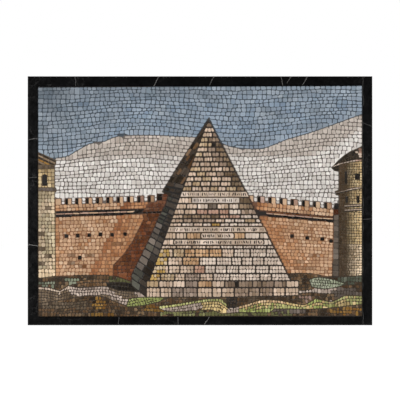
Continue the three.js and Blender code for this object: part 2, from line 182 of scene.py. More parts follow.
def boundary_loops(node, depth):
    """The loops round a node's flat face at one distance from the slab's back, the largest loop first."""
    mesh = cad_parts[node].data
    points = [(round(v.co.x / MM, 3), round(-v.co.y / MM, 3), round(v.co.z / MM, 3)) for v in mesh.vertices]
    edges = set()
    for polygon in mesh.polygons:
        corners = [points[i] for i in polygon.vertices]
        if all(abs(corner[1] - depth) < 0.004 for corner in corners):
            flat = [(x, z) for x, _, z in corners]
            edges.update(zip(flat, flat[1:] + flat[:1]))
    after = {start: end for start, end in edges if (end, start) not in edges}
    loops = []
    while after:
        start, here = after.popitem()
        loop = [start]
        while here != start and here in after:
            loop.append(here)
            here = after.pop(here)
        loops.append(loop)
    return sorted(loops, key=lambda loop: -abs(area_of(loop)))


def area_of(polygon):
    """The signed area, positive for a loop that turns left."""
    return sum(a[0] * b[1] - b[0] * a[1] for a, b in zip(polygon, polygon[1:] + polygon[:1])) / 2


def clip_half(polygon, start, end):
    """The part of a polygon on the left of the line from start to end."""
    dx, dz = end[0] - start[0], end[1] - start[1]

    def side(p):
        return dx * (p[1] - start[1]) - dz * (p[0] - start[0])

    kept = []
    for a, b in zip(polygon, polygon[1:] + polygon[:1]):
        sa, sb = side(a), side(b)
        if sa >= 0:
            kept.append(a)
        if (sa > 0) != (sb > 0) and sa != sb:
            t = sa / (sa - sb)
            kept.append((a[0] + t * (b[0] - a[0]), a[1] + t * (b[1] - a[1])))
    return kept


class Region:
    """An area of the picture: its outline, and the holes where other areas stand in it."""

    def __init__(self, loops):
        outer, *holes = [loop if area_of(loop) > 0 else loop[::-1] for loop in loops]
        self.outer = outer
        self.holes = [hole for hole in holes if area_of(hole) > 0.2]
        starts, ends = [], []
        for loop in [self.outer, *self.holes]:
            starts += loop
            ends += loop[1:] + loop[:1]
        self.a = np.array(starts)
        self.b = np.array(ends)
        self.low = self.a.min(axis=0)
        self.high = self.a.max(axis=0)

    def inside(self, xs, zs):
        """Which of these points lie in the region."""
        xs, zs = np.atleast_1d(xs)[:, None], np.atleast_1d(zs)[:, None]
        (ax, az), (bx, bz) = self.a.T, self.b.T
        spans = (az > zs) != (bz > zs)
        with np.errstate(divide="ignore", invalid="ignore"):
            crossing = ax + (zs - az) * (bx - ax) / (bz - az)
        return (np.where(spans, crossing > xs, False).sum(axis=1) % 2).astype(bool)

    def spans(self, line, step=0.08):
        """The stretches of x over which the point (x, line(x)) lies in the region."""
        xs = np.arange(self.low[0] - step, self.high[0] + 2 * step, step)
        inside = self.inside(xs, np.array([line(x) for x in xs])).astype(int)
        turns = np.flatnonzero(np.diff(inside))
        edges = (xs[turns] + xs[turns + 1]) / 2
        return list(zip(edges[::2], edges[1::2]))

    def column(self, x, z):
        """The lowest and highest points of the region on the vertical through (x, z), around z."""
        (ax, az), (bx, bz) = self.a.T, self.b.T
        cut = (ax > x) != (bx > x)
        heights = np.sort(az[cut] + (x - ax[cut]) * (bz[cut] - az[cut]) / (bx[cut] - ax[cut]))
        for low, high in zip(heights[::2], heights[1::2]):
            if low - 0.3 <= z <= high + 0.3:
                return low, high
        return z, z

    def top(self, x):
        """The region's highest point at x."""
        return self.column_ends(x)[1]

    def foot(self, x):
        """The region's lowest point at x."""
        return self.column_ends(x)[0]

    def column_ends(self, x):
        x = min(max(x, self.low[0] + 0.05), self.high[0] - 0.05)
        (ax, az), (bx, bz) = self.a.T, self.b.T
        cut = (ax > x) != (bx > x)
        heights = az[cut] + (x - ax[cut]) * (bz[cut] - az[cut]) / (bx[cut] - ax[cut])
        return (heights.min(), heights.max()) if len(heights) else (self.low[1], self.high[1])

    def trim(self, tile):
        """The part of a convex tile that lies in the region."""
        xs, zs = zip(*tile)
        near = (
            (np.minimum(self.a[:, 0], self.b[:, 0]) < max(xs))
            & (np.maximum(self.a[:, 0], self.b[:, 0]) > min(xs))
            & (np.minimum(self.a[:, 1], self.b[:, 1]) < max(zs))
            & (np.maximum(self.a[:, 1], self.b[:, 1]) > min(zs))
        )
        centre = (sum(xs) / len(xs), sum(zs) / len(zs))
        if not near.any():
            return tile if self.inside(*centre)[0] else []
        piece = self.outer
        for start, end in zip(tile, tile[1:] + tile[:1]):
            piece = clip_half(piece, start, end)
            if len(piece) < 3:
                return []
        for hole in self.holes:
            piece = cut_off_hole(piece, hole)
        return piece

    def turned(self, angle):
        """The region turned about the origin, by an angle in radians."""
        loops = [[turn(p, angle) for p in loop] for loop in [self.outer, *self.holes]]
        return Region(loops)


def cut_off_hole(piece, hole):
    """What is left of a piece outside a convex hole, on the side where most of the piece is."""
    if len(piece) < 3:
        return piece
    best = None
    for start, end in zip(hole, hole[1:] + hole[:1]):
        part = clip_half(piece, end, start)
        if len(part) > 2 and (best is None or abs(area_of(part)) > abs(area_of(best))):
            best = part
    return best or []


def turn(point, angle):
    c, s = math.cos(angle), math.sin(angle)
    return (point[0] * c - point[1] * s, point[0] * s + point[1] * c)


def region_of(node):
    """The region that a CAD plate covers, from its back face."""
    depth = -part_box(node)[1][1] / MM
    return Region(boundary_loops(node, round(depth, 3)))


# ---------------------------------------------------------------------------------------------- laying rows


def shrink(quad, gap):
    """A four-sided tile with each side moved in by half a joint."""
    moved = []
    for before, here, after in zip(quad[-1:] + quad[:-1], quad, quad[1:] + quad[:1]):
        a, b = unit(before, here), unit(here, after)
        normal_a, normal_b = (-a[1], a[0]), (-b[1], b[0])
        share = 1 + normal_a[0] * normal_b[0] + normal_a[1] * normal_b[1]
        share = max(share, 0.4)
        x = here[0] + gap / 2 * (normal_a[0] + normal_b[0]) / share
        z = here[1] + gap / 2 * (normal_a[1] + normal_b[1]) / share
        moved.append((x, z))
    return moved


def unit(a, b):
    dx, dz = b[0] - a[0], b[1] - a[1]
    size = math.hypot(dx, dz) or 1.0
    return dx / size, dz / size


def waver(point, amount=WAVER):
    return point[0] + random.gauss(0, amount), point[1] + random.gauss(0, amount)


def lay_rows(region, line, rows, width, gap, colour, lean=0.0):
    """Tiles in rows between line(k, x) and line(k + 1, x), counted downwards, trimmed to the region.

    colour(x, z, k) gives each tile's colour, or None for no tile.
    """
    tiles = []
    for k in rows:
        for left, right in region.spans(lambda x: (line(k, x) + line(k + 1, x)) / 2):
            cuts = uneven_cuts(left, right, width, lean)
            for i, (a, b) in enumerate(zip(cuts, cuts[1:])):
                ends = (i == 0, i == len(cuts) - 2)
                tile = fitted_tile(region, line, k, (a, b), ends, gap)
                if not tile:
                    continue
                x = (a[0] + b[0]) / 2
                paint = colour(x, (line(k, x) + line(k + 1, x)) / 2, k)
                if paint is not None:
                    tiles.append((tile, paint))
    return tiles


def uneven_cuts(left, right, width, lean):
    """Where a row is cut into tiles: (x, how far the cut leans), from one end to the other."""
    count = max(1, round((right - left) / width))
    sizes = [random.uniform(0.78, 1.22) for _ in range(count)]
    scale = (right - left) / sum(sizes)
    cuts = [(left, 0.0)]
    for size in sizes[:-1]:
        cuts.append((cuts[-1][0] + size * scale, lean + random.gauss(0, 0.055)))
    return [*cuts, (right, 0.0)]


def fitted_tile(region, line, k, cuts, ends, gap):
    """One tile of a row, trimmed to the region, or None where too little of it would be left."""
    (a, lean_a), (b, lean_b) = cuts
    middle = (a + b) / 2
    top, foot = line(k, middle), line(k + 1, middle)
    low, high = region.column(middle, (top + foot) / 2)
    if min(high, top) - max(low, foot) < SLIVER * (top - foot):
        return None
    (foot_a, head_a), (foot_b, head_b) = [drawn_out(region, line, k, x) for x in (a, b)]
    width = b - a
    a -= width * 0.6 if ends[0] else 0.0
    b += width * 0.6 if ends[1] else 0.0
    if ends[0]:
        foot_a, head_a = line(k + 1, a), line(k, a)
    if ends[1]:
        foot_b, head_b = line(k + 1, b), line(k, b)
    quad = [(a - lean_a, foot_a), (b - lean_b, foot_b), (b + lean_b, head_b), (a + lean_a, head_a)]
    quad = [waver(corner) for corner in shrink(quad, gap)]
    piece = region.trim(quad)
    if len(piece) < 3 or abs(area_of(piece)) < 0.045:
        return None
    return piece


def drawn_out(region, line, k, x):
    """The foot and head of row k at x, moved over the region's edge where only a low strip is left beyond them."""
    head, foot = line(k, x), line(k + 1, x)
    strip = STRIP * (head - foot)
    low, high = region.column(x, (head + foot) / 2)
    if 0 <= high - head < strip:
        head += strip
    if 0 <= foot - low < strip:
        foot -= strip
    return foot, head


def turned_rows(region, angle, pitch, width, gap, colour, lean=0.0):
    """Straight rows at an angle, in radians, over the whole region."""
    flat = region.turned(-angle)
    top = flat.high[1]
    count = int((top - flat.low[1]) / pitch) + 2

    def flat_colour(x, z, k):
        return colour(*turn((x, z), angle), k)

    tiles = lay_rows(flat, lambda k, x: top - k * pitch, range(count), width, gap, flat_colour, lean)
    return [([turn(p, angle) for p in tile], paint) for tile, paint in tiles]


# ---------------------------------------------------------------------------------------------- meshes


def tidy(polygon):
    """The polygon without points that lie on one another or on a straight side."""
    kept = []
    for p in polygon:
        if not kept or math.dist(p, kept[-1]) > 0.025:
            kept.append(p)
    if len(kept) > 2 and math.dist(kept[0], kept[-1]) <= 0.025:
        kept.pop()
    result = []
    for before, here, after in zip(kept[-1:] + kept[:-1], kept, kept[1:] + kept[:1]):
        a, b = unit(before, here), unit(here, after)
        if abs(a[0] * b[1] - a[1] * b[0]) > 0.04 or a[0] * b[0] + a[1] * b[1] < 0:
            result.append(here)
    return result


def break_corners(polygon, size):
    """The polygon with a small piece broken off each corner."""
    broken = []
    for before, here, after in zip(polygon[-1:] + polygon[:-1], polygon, polygon[1:] + polygon[:1]):
        for other in (before, after):
            length = math.dist(here, other)
            share = min(size * random.uniform(0.5, 1.3), 0.3 * length) / length
            broken.append((here[0] + (other[0] - here[0]) * share, here[1] + (other[1] - here[1]) * share))
    return broken


class Tesserae:
    """Collects tiles into one mesh with a colour for each."""

    def __init__(self):
        self.points = []
        self.faces = []
        self.colours = []

    def add(self, polygon, colour, proud=0.0, corner=CORNER):
        polygon = tidy(polygon)
        if len(polygon) < 3:
            return
        if area_of(polygon) < 0:
            polygon = polygon[::-1]
        if corner:
            polygon = break_corners(polygon, corner)
        count = len(polygon)
        cx = sum(p[0] for p in polygon) / count
        cz = sum(p[1] for p in polygon) / count
        reach = math.sqrt(abs(area_of(polygon)))
        inner = max(1 - 2.2 * CHAMFER / max(reach, 0.12), 0.5)
        tilt_x, tilt_z = random.gauss(0, 0.012), random.gauss(0, 0.012)
        face = FACE + proud + random.uniform(-0.012, 0.0)
        base = len(self.points)
        for x, z in polygon:
            x, z = cx + (x - cx) * inner, cz + (z - cz) * inner
            self.points.append((x, -(face + tilt_x * (x - cx) + tilt_z * (z - cz)), z))
        self.points += [(x, -(face - CHAMFER), z) for x, z in polygon]
        self.points += [(x, -BED, z) for x, z in polygon]
        ring = list(range(count))
        self.faces.append([base + i for i in ring])
        self.colours.append((count, colour))
        # The bevel ring and the sides take the tile's colour darkened to 0.8 and 0.5: painted shade in the joints
        # between tiles.
        for level, shade in ((0, 0.8), (1, 0.5)):
            for i in ring:
                j = (i + 1) % count
                upper, lower = base + level * count, base + (level + 1) * count
                self.faces.append([upper + i, lower + i, lower + j, upper + j])
                self.colours.append((4, colour * shade))
        # The back is darkened to 0.4 as well: painted shade under the tile.
        self.faces.append([base + 2 * count + i for i in reversed(ring)])
        self.colours.append((count, colour * 0.4))

    def piece(self, name, node, slot, surface):
        mesh = bpy.data.meshes.new(name)
        points = np.array(self.points) * MM
        mesh.from_pydata(points.tolist(), [], self.faces)
        tone = mesh.color_attributes.new(name="tone", type="FLOAT_COLOR", domain="CORNER")
        values = np.ones((len(mesh.loops), 4), dtype=np.float32)
        values[:, :3] = np.repeat([c for _, c in self.colours], [n for n, _ in self.colours], axis=0)
        tone.data.foreach_set("color", values.ravel())
        mesh.materials.append(surface)
        piece = bpy.data.objects.new(name, mesh)
        bpy.context.scene.collection.objects.link(piece)
        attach(piece, "root")
        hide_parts(node)
        return piece


def make_piece(node, tiles, slot, surface):
    """One mesh of all the tiles of an area, standing for its CAD plate."""
    tesserae = Tesserae()
    for polygon, colour, *rest in tiles:
        tesserae.add(polygon, colour, *rest)
    return tesserae.piece(f"{node}_tesserae", node, slot, surface)


# ---------------------------------------------------------------------------------------------- materials


class Nodes:
    """A material's node tree, with short ways to add and join nodes."""

    def __init__(self, name):
        self.material = bpy.data.materials.new(name)
        self.material.use_nodes = True
        self.tree = self.material.node_tree
        self.shader = self.tree.nodes["Principled BSDF"]

    def add(self, kind, settings=None, **sockets):
        node = self.tree.nodes.new(kind)
        for key, value in (settings or {}).items():
            setattr(node, key, value)
        for key, value in sockets.items():
            self.feed(node.inputs[key.replace("_", " ")], value)
        return node

    def feed(self, socket, value):
        if isinstance(value, bpy.types.NodeSocket):
            self.tree.links.new(value, socket)
        else:
            socket.default_value = value

    def math(self, operation, a, b=0.0, c=0.0):
        node = self.tree.nodes.new("ShaderNodeMath")
        node.operation = operation
        for socket, value in zip(node.inputs, (a, b, c)):
            self.feed(socket, value)
        return node.outputs[0]

    def ramp(self, value, low, high, start=0.0, end=1.0):
        node = self.add("ShaderNodeMapRange", Value=value)
        for socket, number in zip(node.inputs[1:5], (low, high, start, end)):
            socket.default_value = number
        return node.outputs[0]

    def mix(self, share, a, b, mode="MIX"):
        node = self.add("ShaderNodeMix", {"data_type": "RGBA", "blend_type": mode})
        self.feed(node.inputs["Factor"], share)
        for socket, value in zip((node.inputs[6], node.inputs[7]), (a, b)):
            self.feed(socket, value)
        return node.outputs[2]

    def noise(self, place, scale, detail=3.0, roughness=0.5):
        return self.add("ShaderNodeTexNoise", Vector=place, Scale=scale, Detail=detail, Roughness=roughness).outputs[0]


def glass():
    """Opaque glass, ground flat and polished: faint streaks in the colour, scratches, and pits that are darker than the
    glass round them.
    """
    n = Nodes("opaque_glass")
    place = n.add("ShaderNodeTexCoord").outputs["Object"]
    tone = n.add("ShaderNodeAttribute", {"attribute_name": "tone"}).outputs["Color"]
    stretched = n.add("ShaderNodeMapping", Vector=place, Scale=(1.0, 1.0, 2.6)).outputs[0]
    streaks = n.ramp(n.noise(stretched, 3600.0, 4.0, 0.6), 0.3, 0.7, 0.88, 1.1)
    grime = n.ramp(n.noise(place, 190.0, 3.0), 0.35, 0.75, 1.03, 0.9)
    pits = n.ramp(n.noise(place, 9500.0, 2.0), 0.70, 0.80, 1.0, 0.45)
    shade = n.math("MULTIPLY", n.math("MULTIPLY", streaks, grime), pits)
    colour = n.mix(1.0, tone, n.add("ShaderNodeCombineColor", Red=shade, Green=shade, Blue=shade).outputs[0], "MULTIPLY")
    n.feed(n.shader.inputs["Base Color"], colour)
    scuffs = n.noise(place, 700.0, 4.0, 0.65)
    n.feed(n.shader.inputs["Roughness"], n.ramp(scuffs, 0.3, 0.7, 0.2, 0.36))
    n.shader.inputs["IOR"].default_value = 1.52
    n.shader.inputs["Specular IOR Level"].default_value = 0.4
    relief = n.math("ADD", n.math("MULTIPLY", scuffs, 0.4), n.math("MULTIPLY", pits, 0.6))
    bump = n.add("ShaderNodeBump", Strength=0.35, Distance=0.00002, Height=relief)
    n.feed(n.shader.inputs["Normal"], bump.outputs[0])
    return n.material


def putty():
    """The filler in the joints: dull, gritty, and of the area's colour."""
    n = Nodes("joint_putty")
    place = n.add("ShaderNodeTexCoord").outputs["Object"]
    tone = n.add("ShaderNodeAttribute", {"attribute_name": "tone"}).outputs["Color"]
    grit = n.noise(place, 5200.0, 4.0, 0.7)
    shade = n.ramp(grit, 0.3, 0.7, 0.7, 1.15)
    colour = n.mix(1.0, tone, n.add("ShaderNodeCombineColor", Red=shade, Green=shade, Blue=shade).outputs[0], "MULTIPLY")
    n.feed(n.shader.inputs["Base Color"], colour)
    n.shader.inputs["Roughness"].default_value = 0.85
    bump = n.add("ShaderNodeBump", Strength=0.6, Distance=0.00004, Height=grit)
    n.feed(n.shader.inputs["Normal"], bump.outputs[0])
    return n.material


# Veins of the marble as planes through the slab: a point of each on the face, its direction there in degrees from
# the horizontal, the length it keeps, and its strength. Millimetres.
VEINS = [
    (-9.9, 28.0, 58, 3.2, 0.8),
    (3.0, 28.2, 62, 2.6, 0.5),
    (18.9, 28.0, 100, 3.0, 0.7),
    (20.6, 28.2, 60, 2.0, 0.5),
    (24.5, 28.0, 57, 2.6, 0.5),
    (-28.8, 28.0, 91, 2.4, 0.35),
    (37.75, 0.0, 90, 60.0, 0.25),
    (-18.8, -28.0, 88, 3.0, 0.45),
    (-5.1, -28.0, 93, 3.0, 0.5),
    (1.9, -27.3, 62, 4.6, 0.8),
    (-38.8, 14.3, 4, 3.0, 0.5),
    (-38.8, -10.3, -8, 3.2, 0.9),
    (-38.8, 5.5, 12, 1.6, 0.4),
    (38.9, -4.2, 10, 2.2, 0.3),
    (38.9, 17.5, -14, 2.0, 0.3),
]


def marble():
    """Black marble with a polished face: fine white veins, grey clouding, small chips of the polish."""
    n = Nodes("black_marble")
    place = n.add("ShaderNodeTexCoord").outputs["Object"]
    wobble = n.add("ShaderNodeTexNoise", Vector=place, Scale=420.0, Detail=5.0, Roughness=0.6).outputs["Color"]
    centred = n.add("ShaderNodeVectorMath", {"operation": "SUBTRACT"})
    n.feed(centred.inputs[0], wobble)
    centred.inputs[1].default_value = (0.5, 0.5, 0.5)
    scaled = n.add("ShaderNodeVectorMath", {"operation": "SCALE"})
    n.feed(scaled.inputs[0], centred.outputs[0])
    scaled.inputs["Scale"].default_value = 0.0011
    moved = n.add("ShaderNodeVectorMath", {"operation": "ADD"})
    n.feed(moved.inputs[0], place)
    n.feed(moved.inputs[1], scaled.outputs[0])
    split = n.add("ShaderNodeSeparateXYZ", Vector=moved.outputs[0])
    x, y, z = split.outputs
    total = 0.0
    for cx, cz, degrees, length, strength in VEINS:
        c, s = math.cos(math.radians(degrees)), math.sin(math.radians(degrees))
        dx, dz = n.math("SUBTRACT", x, cx * MM), n.math("SUBTRACT", z, cz * MM)
        across = n.math("ADD", n.math("MULTIPLY", dx, -s), n.math("MULTIPLY", dz, c))
        across = n.math("MULTIPLY_ADD", y, 0.35, n.math("ADD", across, 0.0028))
        on_line = n.ramp(n.math("ABSOLUTE", across), 0.00002, 0.00009, strength, 0.0)
        along_it = n.math("ADD", n.math("MULTIPLY", dx, c), n.math("MULTIPLY", dz, s))
        near = n.ramp(n.math("ABSOLUTE", along_it), length * MM / 2, length * MM * 0.62, 1.0, 0.0)
        total = n.math("ADD", n.math("MULTIPLY", on_line, near), total)
    hair = n.ramp(n.math("ABSOLUTE", n.math("SUBTRACT", n.noise(moved.outputs[0], 85.0, 6.0, 0.62), 0.5)), 0.0, 0.004, 0.16, 0.0)
    patchy = n.ramp(n.noise(place, 60.0, 2.0), 0.5, 0.62, 0.0, 1.0)
    veins = n.math("MINIMUM", n.math("ADD", total, n.math("MULTIPLY", hair, patchy)), 1.0)
    cloudy = n.ramp(n.noise(moved.outputs[0], 150.0, 5.0, 0.6), 0.35, 0.75)
    stone = n.mix(cloudy, (0.0014, 0.0014, 0.0015, 1), (0.0042, 0.0041, 0.0042, 1))
    back = n.ramp(n.add("ShaderNodeSeparateXYZ", Vector=place).outputs[1], -0.0002, -0.00005)
    sawn = n.noise(n.add("ShaderNodeMapping", Vector=place, Scale=(1.0, 1.0, 16.0)).outputs[0], 160.0, 5.0, 0.6)
    sawn_stone = n.mix(n.ramp(sawn, 0.3, 0.7), (0.011, 0.011, 0.0115, 1), (0.028, 0.028, 0.029, 1))
    stone = n.mix(back, stone, sawn_stone)
    n.feed(n.shader.inputs["Base Color"], n.mix(veins, stone, (0.2, 0.195, 0.185, 1)))
    scuffs = n.noise(place, 900.0, 5.0, 0.7)
    polish = n.ramp(scuffs, 0.35, 0.7, 0.12, 0.24)
    n.feed(n.shader.inputs["Roughness"], n.math("MULTIPLY_ADD", back, 0.4, polish))
    bump = n.add("ShaderNodeBump", Strength=0.2, Distance=0.00003, Height=scuffs)
    n.feed(n.shader.inputs["Normal"], bump.outputs[0])
    return n.material


GLASS = glass()
PUTTY = putty()
MARBLE = marble()


# ---------------------------------------------------------------------------------------------- sky and clouds

CLOUD_TURNS_WHITE_LEFT = [(-38, 9.6), (-30, 9.4), (-22, 9.7), (-12, 10.2), (2, 10.0)]
CLOUD_TURNS_WHITE_RIGHT = [(2, 11.0), (7, 10.4), (18, 10.2), (24, 10.2), (27, 11.0), (31, 13.0), (34, 14.6), (38, 17.2)]


def sky_line(k, x):
    """The joint between rows k - 1 and k of the sky, in the long swell that fades at the frame and the wall."""
    level = SKY_TOP - k * SKY_ROW
    fade = math.sin(math.pi * min(k * SKY_ROW / SWELL["fades_over"], 1.0))
    wave = SWELL["height"] * math.cos(2 * math.pi * (x - SWELL["crest"]) / SWELL["length"])
    return level + wave * fade + 0.11 * math.sin(x / 2.3 + 1.7 * k) + 0.06 * math.sin(x / 0.9 + 2.1 * k)


def sky_colour(x, z, k):
    blue = 0.35 + 0.3 * ramp(x, -32, -20) - 0.3 * ramp(z, 23, 26.5) + 0.3 * ramp(z, 18, 11) * ramp(x, -20, 0)
    blue += 0.7 * noise.noise(Vector((x / 6.0, z / 2.6, 3.0)))
    share = ramp(blue, 0.1, 0.9)
    colour = rod("sky_grey", x, z) * (1 - share) + rod("sky_blue", x, z) * share
    dusky = 0.2 * ramp(x, -22, -36) * ramp(z, 15, 22) + 0.14 * ramp(z, 20, 25) * ramp(x, 8, -6)
    return tint(colour, 0.9 - dusky + 0.2 * noise.noise(Vector((x / 8.0, z / 2.0, 9.0))))


def cloud_colour(turns_white):
    def colour(x, z, k):
        white = ramp(along(turns_white, x) - z, -0.5, 0.5)
        paint = rod("cloud_pink", x, z, 0.4) * (1 - white) + rod("cloud_white", x, z, 0.4) * white
        return tint(paint, 0.9 + 0.05 * noise.noise(Vector((x / 6.0, z / 4.0, 5.0))))

    return colour


def sky_and_clouds():
    rows = range(31)
    for node, slot, width, colour in (
        ("sky", "sky", 1.12, sky_colour),
        ("cloud_left", "cloud", 1.03, cloud_colour(CLOUD_TURNS_WHITE_LEFT)),
        ("cloud_right", "cloud", 0.98, cloud_colour(CLOUD_TURNS_WHITE_RIGHT)),
    ):
        tiles = lay_rows(region_of(node), sky_line, rows, width, 0.13, colour)
        make_piece(node, tiles, slot, GLASS)


# ---------------------------------------------------------------------------------------------- pyramid


def courses_of(node):
    """The stone courses cut into a plate of the sunlit face, as (foot, head), from its front face."""
    if node == "pyramid_plinth":
        return [(PLINTH_FOOT, PLINTH_MIDDLE - 0.15), (PLINTH_MIDDLE + 0.15, PLINTH_TOP - 0.1)]
    depth = round(-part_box(node)[0][1] / MM, 3)
    level = set()
    for loop in boundary_loops(node, depth):
        for a, b in zip(loop, loop[1:] + loop[:1]):
            if abs(a[1] - b[1]) < 0.002 and abs(a[0] - b[0]) > 0.15:
                level.add(round(a[1], 2))
    heights = sorted(level)
    courses = list(zip(heights[::2], heights[1::2]))
    if node == "pyramid_face_upper":
        courses += [(17.17, 18.0), (18.3, 19.1)]
    return courses


PLINTH_TOP = -18.6
PLINTH_MIDDLE = -20.15
PLINTH_FOOT = -22.3
STONE_LIGHT = np.array([0.87, 0.83, 0.79])
HOLES_IN_THE_FACE = [(3.3, 13.0, 0.35, 0.6), (8.3, -19.4, 0.35, 0.6)]

# Blocks of another colour than their neighbours: (x, z, half width, half height, palette, light).
ODD_BLOCKS = [
    (2.9, -1.3, 0.9, 0.6, "slate", 1.15),
    (3.0, -2.6, 4.4, 0.5, "rose", 0.95),
    (11.0, -2.6, 2.6, 0.5, "stone_grey", 1.05),
    (11.4, -1.3, 2.6, 0.6, "dusk", 1.1),
    (10.6, 0.1, 1.4, 0.6, "dusk", 0.75),
    (0.4, -3.7, 3.4, 0.4, "dusk", 1.2),
    (6.6, -3.7, 2.2, 0.4, "rose", 0.95),
    (-0.8, -4.6, 3.0, 0.4, "stone_grey", 1.25),
    (10.6, -4.6, 1.4, 0.4, "straw", 0.85),
    (0.6, -5.6, 0.9, 0.4, "tan", 1.0),
    (3.4, -5.6, 1.4, 0.4, "ochre", 0.85),
    (-1.9, -8.1, 2.2, 0.6, "tan", 1.0),
    (9.6, -8.1, 1.4, 0.6, "tan", 1.05),
    (-2.9, -13.9, 2.4, 0.6, "tan", 1.05),
    (1.0, -12.0, 3.4, 0.7, "tan", 1.15),
    (-1.4, -17.6, 1.6, 0.6, "mauve", 1.2),
    (-0.6, -15.9, 1.6, 0.6, "rose", 1.15),
    (1.4, -19.4, 0.7, 0.6, "tan", 1.0),
    (-2.6, -19.4, 1.8, 0.6, "mauve", 1.05),
    (-3.6, -21.2, 1.8, 0.7, "mauve", 1.0),
    (13.1, -19.4, 7.4, 0.7, "stone_grey", 1.0),
    (11.5, -21.2, 5.0, 0.8, "stone_grey", 1.1),
]


def block_paint(x, z):
    """The palette of one stone block and how light it is, by its place on the face."""
    for cx, cz, rx, rz, kind, light in ODD_BLOCKS:
        if abs(x - cx) < rx and abs(z - cz) < rz:
            return kind, light * random.uniform(0.93, 1.07)
    if z > 2.2:
        dusky_from = np.interp(z, [2.5, 13.0, 17.5], [8.2, 3.7, 3.2])
        if x > dusky_from:
            return "dusk", random.uniform(0.75, 1.15)
        if x > dusky_from - 2.0 and random.random() < 0.4:
            return "stone_grey", random.uniform(0.9, 1.15)
        return random.choice(["straw", "cream"] if z > 9 else ["cream", "cream", "straw"]), random.uniform(0.82, 1.0)
    pale = ramp(x, -6, 9)
    kind = "ivory" if random.random() < pale and z > PLINTH_TOP else "cream"
    if z < -11 and x < 0 and random.random() < 0.3:
        kind = "straw"
    return kind, random.uniform(0.84, 0.97)


def tessera_paint(x, z, kind, light):
    """One tessera of a block: its block's colour, ochre at the face's left edge, black in the holes."""
    if any(in_ellipse(x, z, *hole) for hole in HOLES_IN_THE_FACE):
        return BLACK
    edge = -10.9 + (z + 17.0) * 0.36
    if -18.5 < z < -10.8 and x < edge + random.uniform(1.4, 2.6):
        return tint(rod("ochre" if random.random() < 0.6 else "straw", x, z), random.uniform(0.85, 1.05))
    return tint(rod(kind, x, z, cluster=0.35), light) * STONE_LIGHT


def without_right_edge(region, width):
    """The region without a strip along its straight right side."""
    foot, head = region.low[1] + 0.1, region.high[1] - 0.1
    ends = []
    for z in (foot, head):
        (ax, az), (bx, bz) = region.a.T, region.b.T
        cut = (az > z) != (bz > z)
        ends.append((float((ax[cut] + (z - az[cut]) * (bx[cut] - ax[cut]) / (bz[cut] - az[cut])).max()) - width, z))
    return Region([clip_half(region.outer, ends[0], ends[1]), *region.holes])


def lay_courses(node, block_width, tessera_width):
    """Stone blocks in courses, each of one or two rows of tesserae with wider dark joints round the block."""
    region = region_of(node)
    if node != "pyramid_plinth":
        region = without_right_edge(region, EDGE_JOINT)
    tiles = []
    for foot, head in courses_of(node):
        foot, head = foot - (0.15 - COURSE_GAP / 2), head + (0.15 - COURSE_GAP / 2)
        middle = (foot + head) / 2
        for left, right in region.spans(lambda x: middle):
            start = left
            while start < right - 0.3:
                end = start + random.uniform(*block_width)
                if right - end < 0.55 * block_width[0]:
                    end = right
                outermost = (start == left, end == right)
                tiles += block(region, (start, end), (foot, head), tessera_width, outermost)
                start = end + COURSE_GAP
    return tiles


def block(region, ends, heights, tessera_width, outermost):
    """The tesserae of one stone block, in two rows where the course is tall."""
    (start, end), (foot, head) = ends, heights
    kind, light = block_paint((start + end) / 2, (foot + head) / 2)
    rows = 2 if head - foot > 1.4 else 1
    split = random.uniform(0.44, 0.56)
    levels = [foot, foot + (head - foot) * split, head] if rows == 2 else [foot, head]
    tiles = []
    for low, high in zip(levels, levels[1:]):
        cuts = uneven_cuts(start, end, tessera_width, 0.0)
        for i, ((a, lean_a), (b, lean_b)) in enumerate(zip(cuts, cuts[1:])):
            middle = ((a + b) / 2, (low + high) / 2)
            a -= 1.0 if outermost[0] and i == 0 else 0.0
            b += 1.0 if outermost[1] and i == len(cuts) - 2 else 0.0
            quad = shrink([(a - lean_a, low), (b - lean_b, low), (b + lean_b, high), (a + lean_a, high)], 0.07)
            piece = region.trim([waver(p, 0.03) for p in quad])
            if len(piece) > 2 and abs(area_of(piece)) > 0.05:
                tiles.append((piece, tessera_paint(*middle, kind, light)))
    return tiles


def band_tiles(node):
    """A plain pale strip, with thin dark strokes that stand where an inscription would."""
    region = region_of(node)
    low, high = region.low[1], region.high[1]
    middle = (low + high) / 2
    tiles = []
    for left, right in region.spans(lambda x: middle):
        cuts = uneven_cuts(left, right, 1.5, 0.0)
        for i, ((a, lean_a), (b, lean_b)) in enumerate(zip(cuts, cuts[1:])):
            x = (a + b) / 2
            a -= 1.0 if i == 0 else 0.0
            b += 1.0 if i == len(cuts) - 2 else 0.0
            quad = [(a - lean_a, low - 0.2), (b - lean_b, low - 0.2), (b + lean_b, high + 0.2), (a + lean_a, high + 0.2)]
            piece = region.trim(shrink(quad, 0.03))
            kind = "ivory" if node.endswith("2") else "cream"
            if len(piece) > 2:
                tiles.append((piece, tint(rod(kind, x, middle, 0.8), random.uniform(0.76, 0.84)), 0.0, 0.06))
        tiles += strokes(left + 0.5, right - 0.4, middle)
    return tiles


def strokes(left, right, middle):
    """Rows of short dark strokes, some upright, some leaning, some short, in uneven groups."""
    tiles = []
    x, run = left, random.randint(4, 8)
    while x < right:
        half = random.choice([0.34, 0.31, 0.24])
        lean = random.choice([0.0, 0.0, 0.0, 0.12, -0.12])
        wide = random.choice([0.15, 0.12, 0.08])
        z = middle + random.uniform(-0.05, 0.05)
        quad = [(x - lean - wide, z - half), (x - lean + wide, z - half), (x + lean + wide, z + half), (x + lean - wide, z + half)]
        tiles.append((quad, tint(BLACK, random.uniform(0.8, 2.4)), 0.035, 0))
        x += random.uniform(0.38, 0.6)
        run -= 1
        if run == 0:
            x += random.uniform(0.3, 0.6)
            run = random.randint(4, 8)
    return tiles


